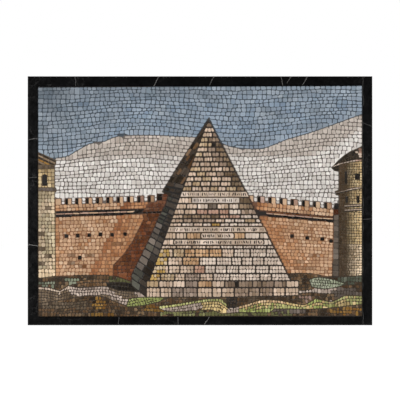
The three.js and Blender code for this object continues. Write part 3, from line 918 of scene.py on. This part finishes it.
# The outer edge of the shaded face, as (height, x), and the heights at which its joints leave that edge.
SHADED_EDGE = [(-19.6, -15.8), (-17.2, -15.8), (-12.0, -13.2), (-8.0, -11.3), (-3.6, -9.4), (2.1, -8.0), (9.1, -4.4)]
SHADED_JOINTS = [5.2, 4.1, 3.1, 2.1, 1.2, 0.2, -1.2, -2.4, -3.3, -4.1, -5.0, -6.2, -7.4, -8.5, -9.8, -11.2]
SHADED_JOINTS += [-12.7, -14.2, -15.5, -16.8, -18.2, -19.8, -21.5, -23.2]
SHADED_SLOPE = [(-20, -0.75), (-10, -0.6), (-2, -0.45), (3, -0.2)]
SHADED_JOINT = 0.34


def shaded_colour(x, z, k):
    """Light quoins at the outer edge, dark stones behind them, nearly black beside the sunlit face."""
    depth = x - along(SHADED_EDGE, z)
    if z > 4.2:
        return tint(rod("night" if random.random() < 0.85 else "umber", x, z), random.uniform(0.8, 1.2))
    if depth < 1.7:
        if z > 1.2:
            return tint(rod("night" if random.random() < 0.7 else "umber", x, z), random.uniform(0.7, 1.1))
        if z > -2.4:
            return tint(rod("lichen", x, z), random.uniform(0.22, 0.4))
        if z > -5.0:
            return tint(rod("lichen", x, z), random.uniform(0.4, 0.9))
        if z > -9.0:
            return tint(rod("quoin" if random.random() < 0.4 else "lichen", x, z), random.uniform(0.25, 0.6))
        if z > -15.8:
            return tint(rod("quoin", x, z), random.uniform(0.4, 0.95))
        return tint(rod("lichen", x, z), random.uniform(0.4, 0.9))
    if depth < 3.1:
        return tint(rod("slate", x, z), random.uniform(0.25, 0.6))
    return tint(rod("night", x, z), random.uniform(0.35, 0.75))


def shaded_line(k, x):
    """The head of stone row k / 2 for an even k, and the foot of the one before for an odd k."""
    row, part = divmod(k, 2)
    joint = SHADED_JOINTS[row + part]
    return joint + SHADED_JOINT * part + along(SHADED_SLOPE, joint) * (x - along(SHADED_EDGE, joint))


def shaded_face():
    """Long dark slips along the slope at the top, and below them stones that lean down to the right."""
    region = region_of("pyramid_face_shaded")
    split_at = ((-9.0, 4.6), (0.0, 3.2))
    upper = Region([clip_half(region.outer, *split_at)])
    lower = Region([clip_half(region.outer, *split_at[::-1])])
    tiles = turned_rows(upper, math.radians(58), 0.62, 1.9, 0.06, shaded_colour)
    tiles += lay_rows(lower, shaded_line, range(0, 2 * len(SHADED_JOINTS) - 2, 2), 1.5, 0.16, shaded_colour, lean=0.25)
    make_piece("pyramid_face_shaded", tiles, "shade", GLASS)


def pyramid():
    for node, block_width, tessera_width in (
        ("pyramid_face_upper", (1.4, 2.3), 0.72),
        ("pyramid_face_middle", (1.7, 2.6), 0.74),
        ("pyramid_face_lower", (2.0, 3.7), 0.7),
        ("pyramid_plinth", (1.7, 3.3), 0.78),
    ):
        make_piece(node, lay_courses(node, block_width, tessera_width), "limestone", GLASS)
    for number in range(1, 6):
        node = f"inscription_band_{number}"
        make_piece(node, band_tiles(node), "inscription", GLASS)
    shaded_face()


# ---------------------------------------------------------------------------------------------- city wall

HOLE = 0.47  # half the width of a putlog hole
# Holes left by the scaffolding, and darker joints and stains, as (x, z, half width, half height).
HOLES_IN_THE_WALL = [(-31.0, -8.2), (-28.4, -8.1), (-25.7, -8.0), (-23.1, -7.8), (-20.4, -7.9), (-17.4, -7.7)]
HOLES_IN_THE_WALL += [(-27.9, -13.2), (21.4, -8.2), (24.9, -8.6), (28.4, -8.9), (30.4, -9.3)]
STAINS = [
    (-29.8, -12.5, 1.4, 0.3),
    (-25.8, -12.5, 1.4, 0.3),
    (-30.2, -14.6, 0.9, 0.3),
    (-27.0, -15.4, 0.9, 0.4),
    (-19.2, -10.0, 1.4, 0.4),
    (26.5, -12.8, 1.7, 0.3),
    (29.5, -16.7, 1.0, 0.25),
    (23.3, -13.9, 2.0, 0.3),
    (24.5, -15.6, 2.7, 0.3),
]
HALF_SHADE = [(-17.5, -25.5), (-13.0, -23.5), (-9.0, -21.5), (-4.0, -19.0), (2.0, -17.0)]
RUSTY_BAND = np.array([0.72, 0.58, 0.5])
RUSTY_SHADE = np.array([0.93, 0.86, 0.8])
RUSTY_FOOT = [(-17.0, 22.6), (-3.0, 16.0)]


def wall_colour_left(x, z, k):
    """Light brick, a rusty band along the edge of the half shade, and rust beyond it."""
    beyond = x - along(HALF_SHADE, z)
    rusty = 0.08 if beyond < 0 else 0.98 if beyond < 1.6 else 0.7
    paint = blend_rods("brick_light", "brick_rust", rusty, x, z)
    if x < -32.4:
        paint = rod("brick_rust", x, z)
    elif beyond < 0 and random.random() < 0.22:
        paint = rod("brick_pale", x, z)
    elif 0 < beyond < 1.6:
        paint = paint * RUSTY_BAND
    elif beyond > 0:
        paint = paint * RUSTY_SHADE
    if any(in_ellipse(x, z, *stain) for stain in STAINS):
        paint = tint(paint, 0.5)
    return tint(paint, 0.92)


def wall_colour_right(x, z, k):
    edge = along(RUSTY_FOOT, z)
    rusty = 1 - ramp(x, edge - 1.5, edge + 3.0)
    paint = blend_rods("brick_light", "brick_rust", 0.1 + rusty * 0.85, x, z)
    if random.random() < 0.5 * ramp(x, edge + 3, edge + 9):
        paint = rod("brick_pale", x, z)
    paint = paint * (1 - 0.9 * rusty * (1 - RUSTY_SHADE)) * 0.95
    if any(in_ellipse(x, z, *stain) for stain in STAINS):
        paint = tint(paint, 0.62)
    return paint


def shadow_colour(x, z, k):
    if k in THIN_SHADOW_ROWS and x > -13.6:
        return tint(BLACK, 1.2) if k == THIN_SHADOW_ROWS[-1] else tint(rod("shadow", x, z), 0.85)
    if -9.9 < x < -9.3 and -0.1 < z:
        return tint(BLACK, 1.1)
    if z > -2.0:
        return tint(rod("brick_red", x, z), 0.9 if z > -0.6 else 0.72)
    stripe = noise.noise(Vector((x / 1.6, z / 5.0, 1.0)))
    return tint(rod("bole" if stripe > 0.12 else "shadow", x, z, cluster=0.7), 0.95)


def wall_lines(node, foot, row=BRICK_ROW):
    """The joints between rows of a wall: parallel to the string course at the top, and level at the foot."""
    region = region_of(node)
    xa, xb = region.low[0] + 0.5, min(region.high[0] - 0.5, -14.2 if region.low[0] < 0 else 99)
    za, zb = region.top(xa), region.top(xb)
    count = round((za - foot) / row)

    def line(k, x):
        top = za + (zb - za) * (x - xa) / (xb - xa)
        return top + (foot - top) * k / count + 0.05 * math.sin(x / 1.7 + 1.3 * k) + 0.03 * math.sin(x / 0.6 + 2.3 * k)

    return region, line, count


def square(x, z, half):
    return [(x - half, z - half), (x + half, z - half), (x + half, z + half), (x - half, z + half)]


def with_openings(tiles, openings, light=1.0):
    """The tiles, cut back round openings of the picture, each of which is filled by one dark tessera."""
    cut = []
    for polygon, paint in tiles:
        for opening in openings:
            (x0, z0), (x1, z1) = np.min(opening, axis=0), np.max(opening, axis=0)
            xs, zs = zip(*polygon)
            if max(xs) > x0 and min(xs) < x1 and max(zs) > z0 and min(zs) < z1:
                polygon = cut_off_hole(polygon, opening)
            if len(polygon) < 3 or abs(area_of(polygon)) < 0.05:
                break
        else:
            cut.append((polygon, paint))
    for opening in openings:
        inner = [waver(p, 0.03) for p in inset(opening, 0.05)]
        cut.append((inner, tint(BLACK, light * random.uniform(0.9, 1.3))))
    return cut


def inset(polygon, distance):
    """A convex polygon with each side moved in."""
    result = polygon
    for a, b in zip(polygon, polygon[1:] + polygon[:1]):
        along_it = unit(a, b)
        shift = (-along_it[1] * distance, along_it[0] * distance)
        result = clip_half(result, (a[0] + shift[0], a[1] + shift[1]), (b[0] + shift[0], b[1] + shift[1]))
    return result


def hollow_corners(region):
    """Each sharp corner that points into the region, as the lower corners of the gaps between merlons do."""
    loop = region.outer
    corners = []
    for before, here, after in zip(loop[-1:] + loop[:-1], loop, loop[1:] + loop[:1]):
        a, b = unit(before, here), unit(here, after)
        if a[0] * b[1] - a[1] * b[0] < -0.8:
            corners.append(here)
    return sorted(corners)


def gaps_of(region):
    """The gaps between merlons, as (left, right, height of the gap's foot)."""
    corners = hollow_corners(region)
    return [
        (a[0], b[0], (a[1] + b[1]) / 2)
        for a, b in zip(corners, corners[1:])
        if 0.8 < b[0] - a[0] < 1.2 and abs(a[1] - b[1]) < 0.2
    ]


MERLON_SHADE = 0.62  # width of the black end of each merlon


def battlements(node, wall_paint):
    """The merlons, each with a black shaded end at its left, on top of two rows of brick."""
    region = region_of(node)
    gaps = gaps_of(region)
    places, feet = [(a + b) / 2 for a, b, _ in gaps], [foot for *_, foot in gaps]
    slope, start = np.polyfit(places, feet, 1)

    def line(k, x):
        sill, foot = start + slope * x, region.foot(x) - 0.1
        return [sill + 2.2, sill - 0.04, (sill + foot) / 2, foot][k]

    tiles = []
    merlons = list(zip([region.low[0], *[b for _, b, _ in gaps]], [*[a for a, *_ in gaps], region.high[0]]))
    for number, (left, right) in enumerate(merlons):
        dark_to = left + MERLON_SHADE if number else left
        parts = [(left - 0.1, dark_to, BLACK)] if number else []
        count = max(1, round((right - dark_to) / 0.9))
        cuts = np.linspace(dark_to, right, count + 1)
        cuts[0] -= 0.0 if number else 0.5
        for a, b in zip(cuts, cuts[1:]):
            kind = random.choice(["brick_pale", "rose", "brick_pale", "brick_light"])
            parts.append((a, b, tint(rod(kind, a, 0.0), random.uniform(0.8, 1.0))))
        for a, b, paint in parts:
            quad = [(a, line(1, a)), (b, line(1, b)), (b, line(0, b)), (a, line(0, a))]
            piece = region.trim(shrink(quad, 0.08))
            if len(piece) > 2 and abs(area_of(piece)) > 0.1:
                tiles.append((piece, paint))
    tiles += lay_rows(region, line, range(1, 3), 0.86, 0.1, wall_paint)
    return tiles


def string_course(node):
    """Three thin courses: a dark line, a pale moulding and the black shadow below it."""
    region = region_of(node)
    shares = [-0.1, 0.3, 0.6, 1.1]

    def line(k, x):
        top, foot = region.top(x), region.foot(x)
        return top + (foot - top) * shares[min(k, 3)]

    def colour(x, z, k):
        if k == 1:
            return tint(rod("rose" if random.random() < 0.5 else "brick_pale", x, z), random.uniform(0.8, 1.0))
        if k == 0 and x > 0:
            return tint(rod("shadow", x, z), random.uniform(0.7, 1.2))
        return tint(BLACK, random.uniform(0.7, 1.2))

    return lay_rows(region, line, range(3), 1.9, 0.05, colour)


THIN_SHADOW_ROWS = (5, 6)


def city_wall():
    for side, paint, foot in (("left", wall_colour_left, -17.4), ("right", wall_colour_right, -17.6)):
        region, line, count = wall_lines(f"city_wall_{side}", foot)
        tiles = lay_rows(region, line, range(-1, count + 2), 0.88, 0.11, paint)
        holes = [square(*hole, HOLE) for hole in HOLES_IN_THE_WALL if (hole[0] < 0) == (side == "left")]
        make_piece(f"city_wall_{side}", with_openings(tiles, holes), "brick", GLASS)
        make_piece(f"battlements_{side}", battlements(f"battlements_{side}", paint), "brick", GLASS)
        make_piece(f"string_course_{side}", string_course(f"string_course_{side}"), "shade", GLASS)
    levels = [1.7, 0.85, 0.0, -0.8, -1.55, -2.15, -2.55, -2.95]
    levels += [levels[-1] - 0.85 * (i + 1) for i in range(21)]

    def line(k, x):
        return levels[k] + 0.03 * (x + 12) + 0.05 * math.sin(x / 1.7 + 1.3 * k)

    shadow = lay_rows(region_of("shadow_on_the_wall"), line, range(len(levels) - 1), 0.95, 0.08, shadow_colour)
    make_piece("shadow_on_the_wall", shadow, "brick_in_shadow", GLASS)


# ---------------------------------------------------------------------------------------------- towers

# The openings of the towers, each a convex outline.
WINDOW_LEFT = [(-36.63, 3.45), (-35.45, 3.45), (-35.45, 5.6), (-35.7, 6.05), (-36.04, 6.2), (-36.38, 6.05), (-36.63, 5.6)]
WINDOWS_RIGHT = [
    [(35.95, 4.95), (37.15, 4.95), (37.15, 6.35), (35.95, 6.35)],
    [(33.55, 3.9), (34.15, 3.9), (34.15, 6.9), (33.55, 6.9)],
    [(36.4, -0.5), (36.95, -0.5), (36.95, 1.15), (36.4, 1.15)],
    [(33.7, -0.5), (34.35, -0.5), (34.35, 1.0), (33.7, 1.0)],
]
# Dark cracks and stains of the left tower's shaft, as (x, z, half width, half height).
TOWER_LEFT_STAINS = [
    (-36.9, 0.5, 0.9, 0.25),
    (-35.3, -2.0, 0.8, 0.45),
    (-36.5, -4.6, 0.9, 0.22),
    (-35.2, -6.3, 0.8, 0.25),
    (-36.6, -7.6, 0.9, 0.22),
    (-35.6, -9.0, 1.2, 0.22),
    (-36.8, -11.2, 0.9, 0.25),
    (-35.4, -13.0, 1.2, 0.22),
    (-36.6, -14.6, 0.9, 0.22),
]
# The pale rings of the right tower, each with a dark line below: points along its middle.
RINGS = [[(31.2, 1.75), (33.5, 2.3), (34.7, 2.6), (36.0, 2.9), (38, 3.05)], [(33.5, -1.2), (35.2, -1.1), (38, -0.95)]]
RINGS += [[(33.5, -2.2), (35.2, -2.1), (38, -1.95)]]
RING_BANDS = [(-0.34, -0.14), (-0.12, 0.12), (0.14, 0.3)]  # dark, pale and dark, about a ring's middle
EAVE = [(30.4, 7.6), (32.3, 8.35), (34.7, 8.95), (36.0, 9.25), (38, 9.3)]
EAVE_LINES = [5.0, 4.45, 3.9, 3.35, 2.8, 2.25, 1.75, 1.25, 0.75, 0.3, -0.02, -0.6, -1.2]  # heights above the eave


def tower_left_colour(x, z, k):
    if z > 7.6:
        return tint(rod("dusk", x, z), 1.2 if k % 2 else 0.5)
    if z > 6.3 and abs(x + 36.04) < 1.1:
        return tint(rod("tower_gold" if k % 2 else "umber", x, z), random.uniform(0.5, 0.9))
    if z > 2.9:
        return tint(rod("tower_gold", x, z), 0.62 if x > -34.4 else random.uniform(0.8, 1.0))
    if z > 2.0:
        return tint(rod("mauve", x, z), 1.0 if k % 2 else 0.35)
    if z < -15.6:
        return tint(rod("tower", x, z), 1.2)
    if any(in_ellipse(x, z, *stain) for stain in TOWER_LEFT_STAINS):
        return tint(rod("dusk", x, z), random.uniform(0.3, 0.75))
    kind = "tower_green" if noise.noise(Vector((x / 2, z / 3, 0))) > -0.05 else "tower"
    return tint(rod(kind, x, z), 1.05 if x > -34.9 else random.uniform(0.66, 0.86))


def tower_right_colour(x, z, k):
    light = along([(32.2, 0.1), (33.8, 0.16), (34.5, 0.34), (35.5, 0.56), (36.6, 0.85), (37.5, 1.15)], x)
    light *= random.uniform(0.85, 1.15) * (1.0 if z > -2.5 else 1.1)
    gold = rod("tower_gold" if z > -10 else "tower", x, z)
    dark = rod("umber", x, z) * 0.5
    share = ramp(light, 0.08, 0.5)
    return dark * (1 - share) + gold * light * share


def with_rings(tiles):
    """The tiles of the right tower, cut back for its rings: slips of pale glass between two dark lines."""
    for ring in RINGS:
        xs = np.arange(ring[0][0], ring[-1][0] + 0.7, 0.7)
        for a, b in zip(xs, xs[1:]):
            za, zb = along(ring, a), along(ring, b)
            quads = [[(a, za + lo), (b, zb + lo), (b, zb + hi), (a, za + hi)] for lo, hi in RING_BANDS]
            whole = quads[0][:2] + quads[-1][2:]
            kept = []
            for polygon, paint in tiles:
                xs_of, zs_of = zip(*polygon)
                if max(xs_of) > a and min(xs_of) < b and max(zs_of) > min(za, zb) - 0.4 and min(zs_of) < max(za, zb) + 0.4:
                    polygon = cut_off_hole(polygon, whole)
                if len(polygon) > 2 and abs(area_of(polygon)) > 0.03:
                    kept.append((polygon, paint))
            pale = tint(rod("cream", a, za), along([(31, 0.2), (33, 0.35), (34.5, 0.7), (37, 0.85)], a))
            side = region_of("tower_right")
            for quad, paint in zip(quads, (tint(BLACK, 1.2), pale, tint(rod("umber", a, za), 0.5))):
                piece = side.trim(quad)
                if len(piece) > 2:
                    kept.append((piece, paint))
            tiles = kept
    return tiles


def roof_colour_left(x, z, k):
    if k in (0, 2, 5):
        return tint(rod("night", x, z), 0.8)
    return tint(rod("dusk" if k % 3 else "amber", x, z), random.uniform(1.0, 1.35))


def roof_colour_right(x, z, k):
    """Dark slates with a pale line along the eave, black below it, and a few light slates at the right."""
    if k == 9:
        return tint(rod("pale_path" if x < 36 else "rose", x, z), random.uniform(0.75, 0.95))
    if k > 9:
        return tint(BLACK, 1.0)
    if x > 36.4 and 9.9 < z < 12.1 and random.random() < 0.65:
        return tint(rod("rose" if random.random() < 0.4 else "cream", x, z), random.uniform(0.6, 1.0))
    return tint(rod("night", x, z), random.uniform(0.5, 1.2))


def buttress_colour(x, z, k):
    if z > -2.0:
        return tint(BLACK, 1.0)
    if z > -3.6:
        return tint(rod("bole", x, z), 0.5)
    return tint(rod("slate", x, z), random.uniform(0.85, 1.1))


def towers():
    for node, width, row, colour, windows in (
        ("tower_left", 0.76, 0.86, tower_left_colour, [WINDOW_LEFT]),
        ("tower_right", 0.56, 0.62, tower_right_colour, WINDOWS_RIGHT),
    ):
        region = region_of(node)
        top = region.high[1]

        def line(k, x):
            return top - k * row + 0.04 * math.sin(x / 0.9 + 1.7 * k)

        tiles = lay_rows(region, line, range(int(28 / row)), width, 0.08, colour)
        if node == "tower_right":
            tiles = with_rings(tiles)
        make_piece(node, with_openings(tiles, windows), "tower", GLASS)
    roof = region_of("tower_left_roof")
    left = turned_rows(roof, math.radians(-25), 0.42, 1.5, 0.06, roof_colour_left)
    make_piece("tower_left_roof", left, "roof", GLASS)
    roof = region_of("tower_right_roof")
    right = lay_rows(roof, lambda k, x: along(EAVE, x) + EAVE_LINES[k], range(12), 0.7, 0.05, roof_colour_right)
    make_piece("tower_right_roof", right, "roof", GLASS)
    side = region_of("buttress")
    laid = lay_rows(side, lambda k, x: side.high[1] - k * 1.3, range(15), 1.2, 0.1, buttress_colour)
    make_piece("buttress", laid, "path", GLASS)


# ---------------------------------------------------------------------------------------------- ground

# Patches of colour in the ground, the first that fits counts: palette, light, (x, z, half width, half height).
EARTH_PATCHES = [
    ("teal", 1.0, (-29.8, -18.5, 1.7, 0.8)),
    ("teal", 0.9, (-35.6, -19.3, 2.5, 0.6)),
    ("soil", 1.3, (-25.0, -19.3, 3.6, 0.9)),
    ("moss", 0.2, (-19.0, -18.3, 3.2, 0.5)),
    ("amber", 1.0, (-23.4, -23.9, 1.6, 1.3)),
    ("amber", 0.8, (-22.6, -26.2, 3.0, 0.5)),
    ("amber", 0.75, (-9.6, -25.1, 3.9, 0.8)),
    ("amber", 0.95, (33.8, -25.5, 4.0, 1.1)),
    ("loam", 0.6, (28.6, -25.8, 1.1, 0.9)),
    ("mauve", 0.4, (21.0, -25.5, 4.4, 0.7)),
    ("rose", 0.5, (24.4, -22.6, 1.3, 0.8)),
    ("pale_path", 0.7, (31.0, -23.2, 2.0, 0.35)),
    ("mauve", 0.36, (34.5, -21.4, 4.0, 1.4)),
    ("teal", 0.35, (35.0, -18.3, 3.2, 0.9)),
    ("loam", 0.9, (16.5, -22.8, 7.5, 0.8)),
    ("moss", 0.4, (-4.0, -26.2, 5.0, 0.4)),
    ("dusk", 0.55, (-30.0, -24.2, 8.5, 0.8)),
    ("moss", 0.28, (8.0, -26.2, 16.0, 0.7)),
]
BLACK_WEDGE = [(-23.5, -19.3, -19.0), (-18.0, -20.9, -18.4), (-12.0, -22.2, -18.0)]  # x, foot and head
DOTTED_PATH = [(-38, -20.4), (-35, -20.45), (-32.5, -21.2), (-31.2, -20.3), (-30.2, -19.9)]
RIGHT_PATH = [(22.6, -21.3), (25.0, -20.9), (27.4, -20.7), (30.3, -20.75), (31.6, -20.1), (33.0, -19.3)]
WIDE_PATH = [(-30.4, -20.9), (-28.8, -21.1), (-26, -21.25), (-23.3, -21.0), (-21.6, -20.9), (-19.6, -22.3), (-17, -24.1)]


def earth_colour(x, z, k):
    if RIGHT_PATH[0][0] < x < RIGHT_PATH[-1][0] and abs(z - along(RIGHT_PATH, x)) < 0.45:
        return tint(rod("pale_path", x, z), random.uniform(0.65, 0.95))
    for palette, light, ellipse in EARTH_PATCHES:
        if in_ellipse(x, z, *ellipse) and random.random() < 0.9:
            return tint(rod(palette, x, z), light * random.uniform(0.8, 1.2))
    feet, heads = [(x0, foot) for x0, foot, _ in BLACK_WEDGE], [(x0, head) for x0, _, head in BLACK_WEDGE]
    if -23.5 < x < -11.5 and along(feet, x) < z < along(heads, x) - 0.5:
        return tint(BLACK, random.uniform(0.8, 1.8))
    return tint(rod("soil" if random.random() < 0.6 else "loam", x, z), random.uniform(0.85, 1.12))


def path_colour(x, z, k):
    """A dotted cream line at the left, a wide pale path from there on, and brown stone on both its sides."""
    if x < -30.2:
        if abs(z - along(DOTTED_PATH, x)) < 0.42:
            return tint(rod("cream", x, z), random.uniform(0.75, 1.05))
        return tint(rod("dusk", x, z), random.uniform(0.6, 0.9))
    centre = along(WIDE_PATH, x)
    if abs(z - centre) < 0.85 or (x > -17.2 and z < -23):
        return tint(rod("pale_path", x, z), random.uniform(0.8, 1.05))
    if z > centre and x > -15.2 and z > -21.9 - (x + 15.2) * 0.5:
        return tint(rod("pale_path", x, z), random.uniform(0.7, 0.95))
    return tint(rod("mauve" if x < -22 and z > centre else "dusk", x, z), random.uniform(0.6, 0.85))


def verge_colour(x, z, k):
    """Grass along the ridge, in stretches from left to right."""
    wild = random.uniform(0.75, 1.2)
    if x < 0.5:
        return tint(rod("moss", x, z), wild) if k == 0 else tint(rod("pale_path" if k < 3 else "soil", x, z), 0.8 * wild)
    if x < 6.4:
        return tint(rod("moss" if k == 0 else "hay", x, z), (0.8 if k == 0 else 0.9) * wild)
    if x < 9:
        return tint(rod("pale_path", x, z), 0.85 * wild)
    if k == 0 and x < 20:
        return tint(rod("peach", x, z), wild)
    if x < 17.5:
        return tint(rod("leaf" if z < -25.0 or random.random() < 0.2 else "hay", x, z), 0.85 * wild)
    if x < 24.4:
        return tint(rod("hay" if k == 0 else "moss", x, z), 0.98 * wild)
    if x < 29.2:
        return tint(rod("leaf" if random.random() < 0.7 else "hay", x, z), 0.92 * wild)
    return tint(rod("moss" if random.random() < 0.6 else "hay", x, z), 0.7 * wild)


def plain(name, light=1.0):
    return lambda x, z, k: tint(rod(name, x, z), light * random.uniform(0.75, 1.25))


def ground():
    for node in ("earth_left", "earth_right", "earth_in_front"):
        region = region_of(node)
        top = region.high[1]

        def line(k, x):
            return top + 0.3 - k * GROUND_ROW + 0.3 * math.sin(x / 4.1 + k / 5) + 0.1 * math.sin(x / 1.3 + k)

        make_piece(node, lay_rows(region, line, range(14), 0.74, 0.1, earth_colour), "earth", GLASS)
    for node, slot, pitch, colour in (
        ("stony_path", "path", 0.62, path_colour),
        ("grassy_verge", "grass", 0.66, verge_colour),
    ):
        region = region_of(node)
        line = flowing(region, pitch)
        make_piece(node, lay_rows(region, line, range(9), 0.66, 0.1, colour), slot, GLASS)
    tuft = turned_rows(region_of("grass_tuft"), math.radians(14), 0.62, 0.62, 0.1, plain("leaf", 0.68))
    make_piece("grass_tuft", tuft, "grass", GLASS)
    brush = turned_rows(region_of("brushwood"), math.radians(-4), 0.62, 0.6, 0.1, plain("teal", 1.15))
    make_piece("brushwood", brush, "grass", GLASS)
    hole = turned_rows(region_of("opening_at_the_foot"), 0.0, 0.66, 0.7, 0.1, plain("night", 1.2))
    make_piece("opening_at_the_foot", hole, "shade", GLASS)


def flowing(region, pitch):
    """Rows that run along the region's upper edge."""
    xs = np.arange(region.low[0], region.high[0], 0.4)
    tops = np.array([region.top(x) for x in xs])
    smooth = np.convolve(np.pad(tops, 3, mode="edge"), np.ones(7) / 7, mode="valid")
    return lambda k, x: float(np.interp(x, xs, smooth)) + 0.1 - k * pitch


# ---------------------------------------------------------------------------------------------- filler

FILLER = {
    "sky": "3e474f",
    "cloud": "655c55",
    "inscription": "4a3928",
    "pyramid_face": "2a1f14",
    "pyramid_plinth": "2a1f15",
    "pyramid_face_shaded": "16110d",
    "shadow": "43281a",
    "string": "1a100a",
    "battlements": "6a452e",
    "city_wall": "855a3c",
    "tower": "5d4c36",
    "tower_right": "43351f",
    "earth": "332819",
    "stony_path": "3c3026",
    "grass": "403920",
    "grassy_verge": "423622",
    "brushwood": "3a3827",
    "buttress": "2c241c",
    "opening": "15110d",
}


def filler_colour(node):
    """The filler's colour in the area of a node: that of the longest name that the node's begins with."""
    keys = [key for key in FILLER if node.startswith(key)]
    return srgb(FILLER[max(keys, key=len)]) if keys else srgb("3a3128")


def joint_filler():
    """The putty between the tesserae: one sheet just below their faces, coloured area by area."""
    low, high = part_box("mastic_bed")
    corners = boundary_loops("mastic_bed", round(-high[1] / MM, 3))[0]
    xs = sorted(p[0] for p in corners)
    zs = sorted(p[1] for p in corners)
    left, right = (xs[0] + xs[1]) / 2 - 0.1, (xs[2] + xs[3]) / 2 + 0.1
    foot, top = (zs[0] + zs[1]) / 2 - 0.1, (zs[2] + zs[3]) / 2 + 0.1
    step = 0.4
    nx, nz = round((right - left) / step), round((top - foot) / step)
    us, vs = np.meshgrid(np.linspace(left, right, nx + 1), np.linspace(foot, top, nz + 1))
    us, vs = us.ravel(), vs.ravel()
    colours = np.tile(srgb("3a3128"), (len(us), 1))
    for node in AREAS:
        region = region_of(node)
        for du, dv in ((0, 0), (0.16, 0), (-0.16, 0), (0, 0.16), (0, -0.16)):
            colours[region.inside(us + du, vs + dv)] = filler_colour(node)
    depth = FACE - FILLER_BELOW
    points = [(u * MM, -depth * MM, v * MM) for u, v in zip(us, vs)]
    faces = []
    for j in range(nz):
        for i in range(nx):
            a = j * (nx + 1) + i
            faces.append((a, a + 1, a + nx + 2, a + nx + 1))
    rim = [i for i in range(nx + 1)]
    rim += [j * (nx + 1) + nx for j in range(1, nz + 1)]
    rim += [nz * (nx + 1) + i for i in range(nx - 1, -1, -1)]
    rim += [j * (nx + 1) for j in range(nz - 1, 0, -1)]
    base = len(points)
    back = -high[1]
    points += [(points[i][0], -back, points[i][2]) for i in rim]
    count = len(rim)
    for i in range(count):
        j = (i + 1) % count
        faces.append((rim[j], rim[i], base + i, base + j))
    faces.append([base + i for i in range(count)][::-1])
    colours = np.vstack([colours, colours[rim]])
    mesh = bpy.data.meshes.new("joint_filler")
    mesh.from_pydata(points, [], faces)
    tone = mesh.color_attributes.new(name="tone", type="FLOAT_COLOR", domain="CORNER")
    index = np.empty(len(mesh.loops), dtype=np.int32)
    mesh.loops.foreach_get("vertex_index", index)
    values = np.ones((len(index), 4), dtype=np.float32)
    values[:, :3] = colours[index]
    tone.data.foreach_set("color", values.ravel())
    mesh.materials.append(PUTTY)
    piece = bpy.data.objects.new("joint_filler", mesh)
    bpy.context.scene.collection.objects.link(piece)
    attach(piece, "root")
    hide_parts("mastic_bed")


AREAS = [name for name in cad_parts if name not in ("marble_slab", "mastic_bed")]


def slab():
    """The CAD slab itself, in black marble."""
    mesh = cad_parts["marble_slab"].data
    mesh.materials.clear()
    mesh.materials.append(MARBLE)


# ---------------------------------------------------------------------------------------------- stage

CAMERA_DISTANCE = 0.2578  # from the tesserae's faces


def camera():
    data = bpy.data.cameras.new("camera")
    data.lens = 100
    data.sensor_width = 36
    data.clip_start = 0.01
    data.clip_end = 50
    eye = bpy.data.objects.new("camera", data)
    eye.location = (0.0, -FACE * MM - CAMERA_DISTANCE, 0.00018)
    eye.rotation_euler = (math.radians(90), 0, 0)
    bpy.context.scene.collection.objects.link(eye)
    bpy.context.scene.camera = eye


def area_light(name, place, size, power, target=(0, 0, 0)):
    data = bpy.data.lights.new(name, "AREA")
    data.shape = "RECTANGLE"
    data.size, data.size_y = size
    data.energy = power
    lamp = bpy.data.objects.new(name, data)
    lamp.location = place
    direction = Vector(target) - Vector(place)
    lamp.rotation_euler = direction.to_track_quat("-Z", "Y").to_euler()
    bpy.context.scene.collection.objects.link(lamp)


def surroundings():
    """A white backdrop for the camera, dim grey for reflections, and a pale floor well below the panel."""
    world = bpy.data.worlds.new("studio")
    bpy.context.scene.world = world
    world.use_nodes = True
    nodes, links = world.node_tree.nodes, world.node_tree.links
    background = nodes["Background"]
    path = nodes.new("ShaderNodeLightPath")
    strength = nodes.new("ShaderNodeMapRange")
    strength.inputs["To Min"].default_value = 0.02
    strength.inputs["To Max"].default_value = 1.0
    links.new(path.outputs["Is Camera Ray"], strength.inputs["Value"])
    links.new(strength.outputs[0], background.inputs["Strength"])
    background.inputs["Color"].default_value = (1, 1, 1, 1)

    mesh = bpy.data.meshes.new("floor")
    mesh.from_pydata([(-3, -3, -0.14), (3, -3, -0.14), (3, 3, -0.14), (-3, 3, -0.14)], [], [(0, 1, 2, 3)])
    floor = bpy.data.objects.new("floor", mesh)
    bpy.context.scene.collection.objects.link(floor)
    pale = bpy.data.materials.new("pale_floor")
    pale.use_nodes = True
    tree = pale.node_tree
    shader = tree.nodes["Principled BSDF"]
    shader.inputs["Base Color"].default_value = (0.2, 0.2, 0.2, 1)
    shader.inputs["Roughness"].default_value = 0.9
    path = tree.nodes.new("ShaderNodeLightPath")
    shader.inputs["Emission Color"].default_value = (1, 1, 1, 1)
    tree.links.new(path.outputs["Is Camera Ray"], shader.inputs["Emission Strength"])
    mesh.materials.append(pale)
    floor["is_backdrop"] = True


def lights():
    area_light("left", (-0.50, -0.40, 0.10), (0.25, 0.5), 2.2)
    area_light("right", (0.50, -0.40, 0.10), (0.25, 0.5), 2.0)
    area_light("above", (0.0, -0.40, 0.62), (0.7, 0.3), 3.6)
    area_light("below", (0.0, -0.40, -0.60), (0.7, 0.3), 1.8)
    area_light("behind", (-0.35, 0.55, 0.35), (0.6, 0.6), 4.0)
    area_light("sheen_left", (-0.15, -0.27, 0.0), (0.08, 0.08), 0.085)
    area_light("sheen_right", (0.15, -0.27, 0.0), (0.08, 0.08), 0.06)


# ---------------------------------------------------------------------------------------------- the scene

camera()
surroundings()
lights()
slab()
sky_and_clouds()
pyramid()
city_wall()
towers()
ground()
joint_filler()

bpy.context.scene.view_settings.view_transform = "Standard"
bpy.context.scene.view_settings.look = "None"

boxes = [[[float(value) for value in corner] for corner in box] for box in (CAD_BOX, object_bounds())]
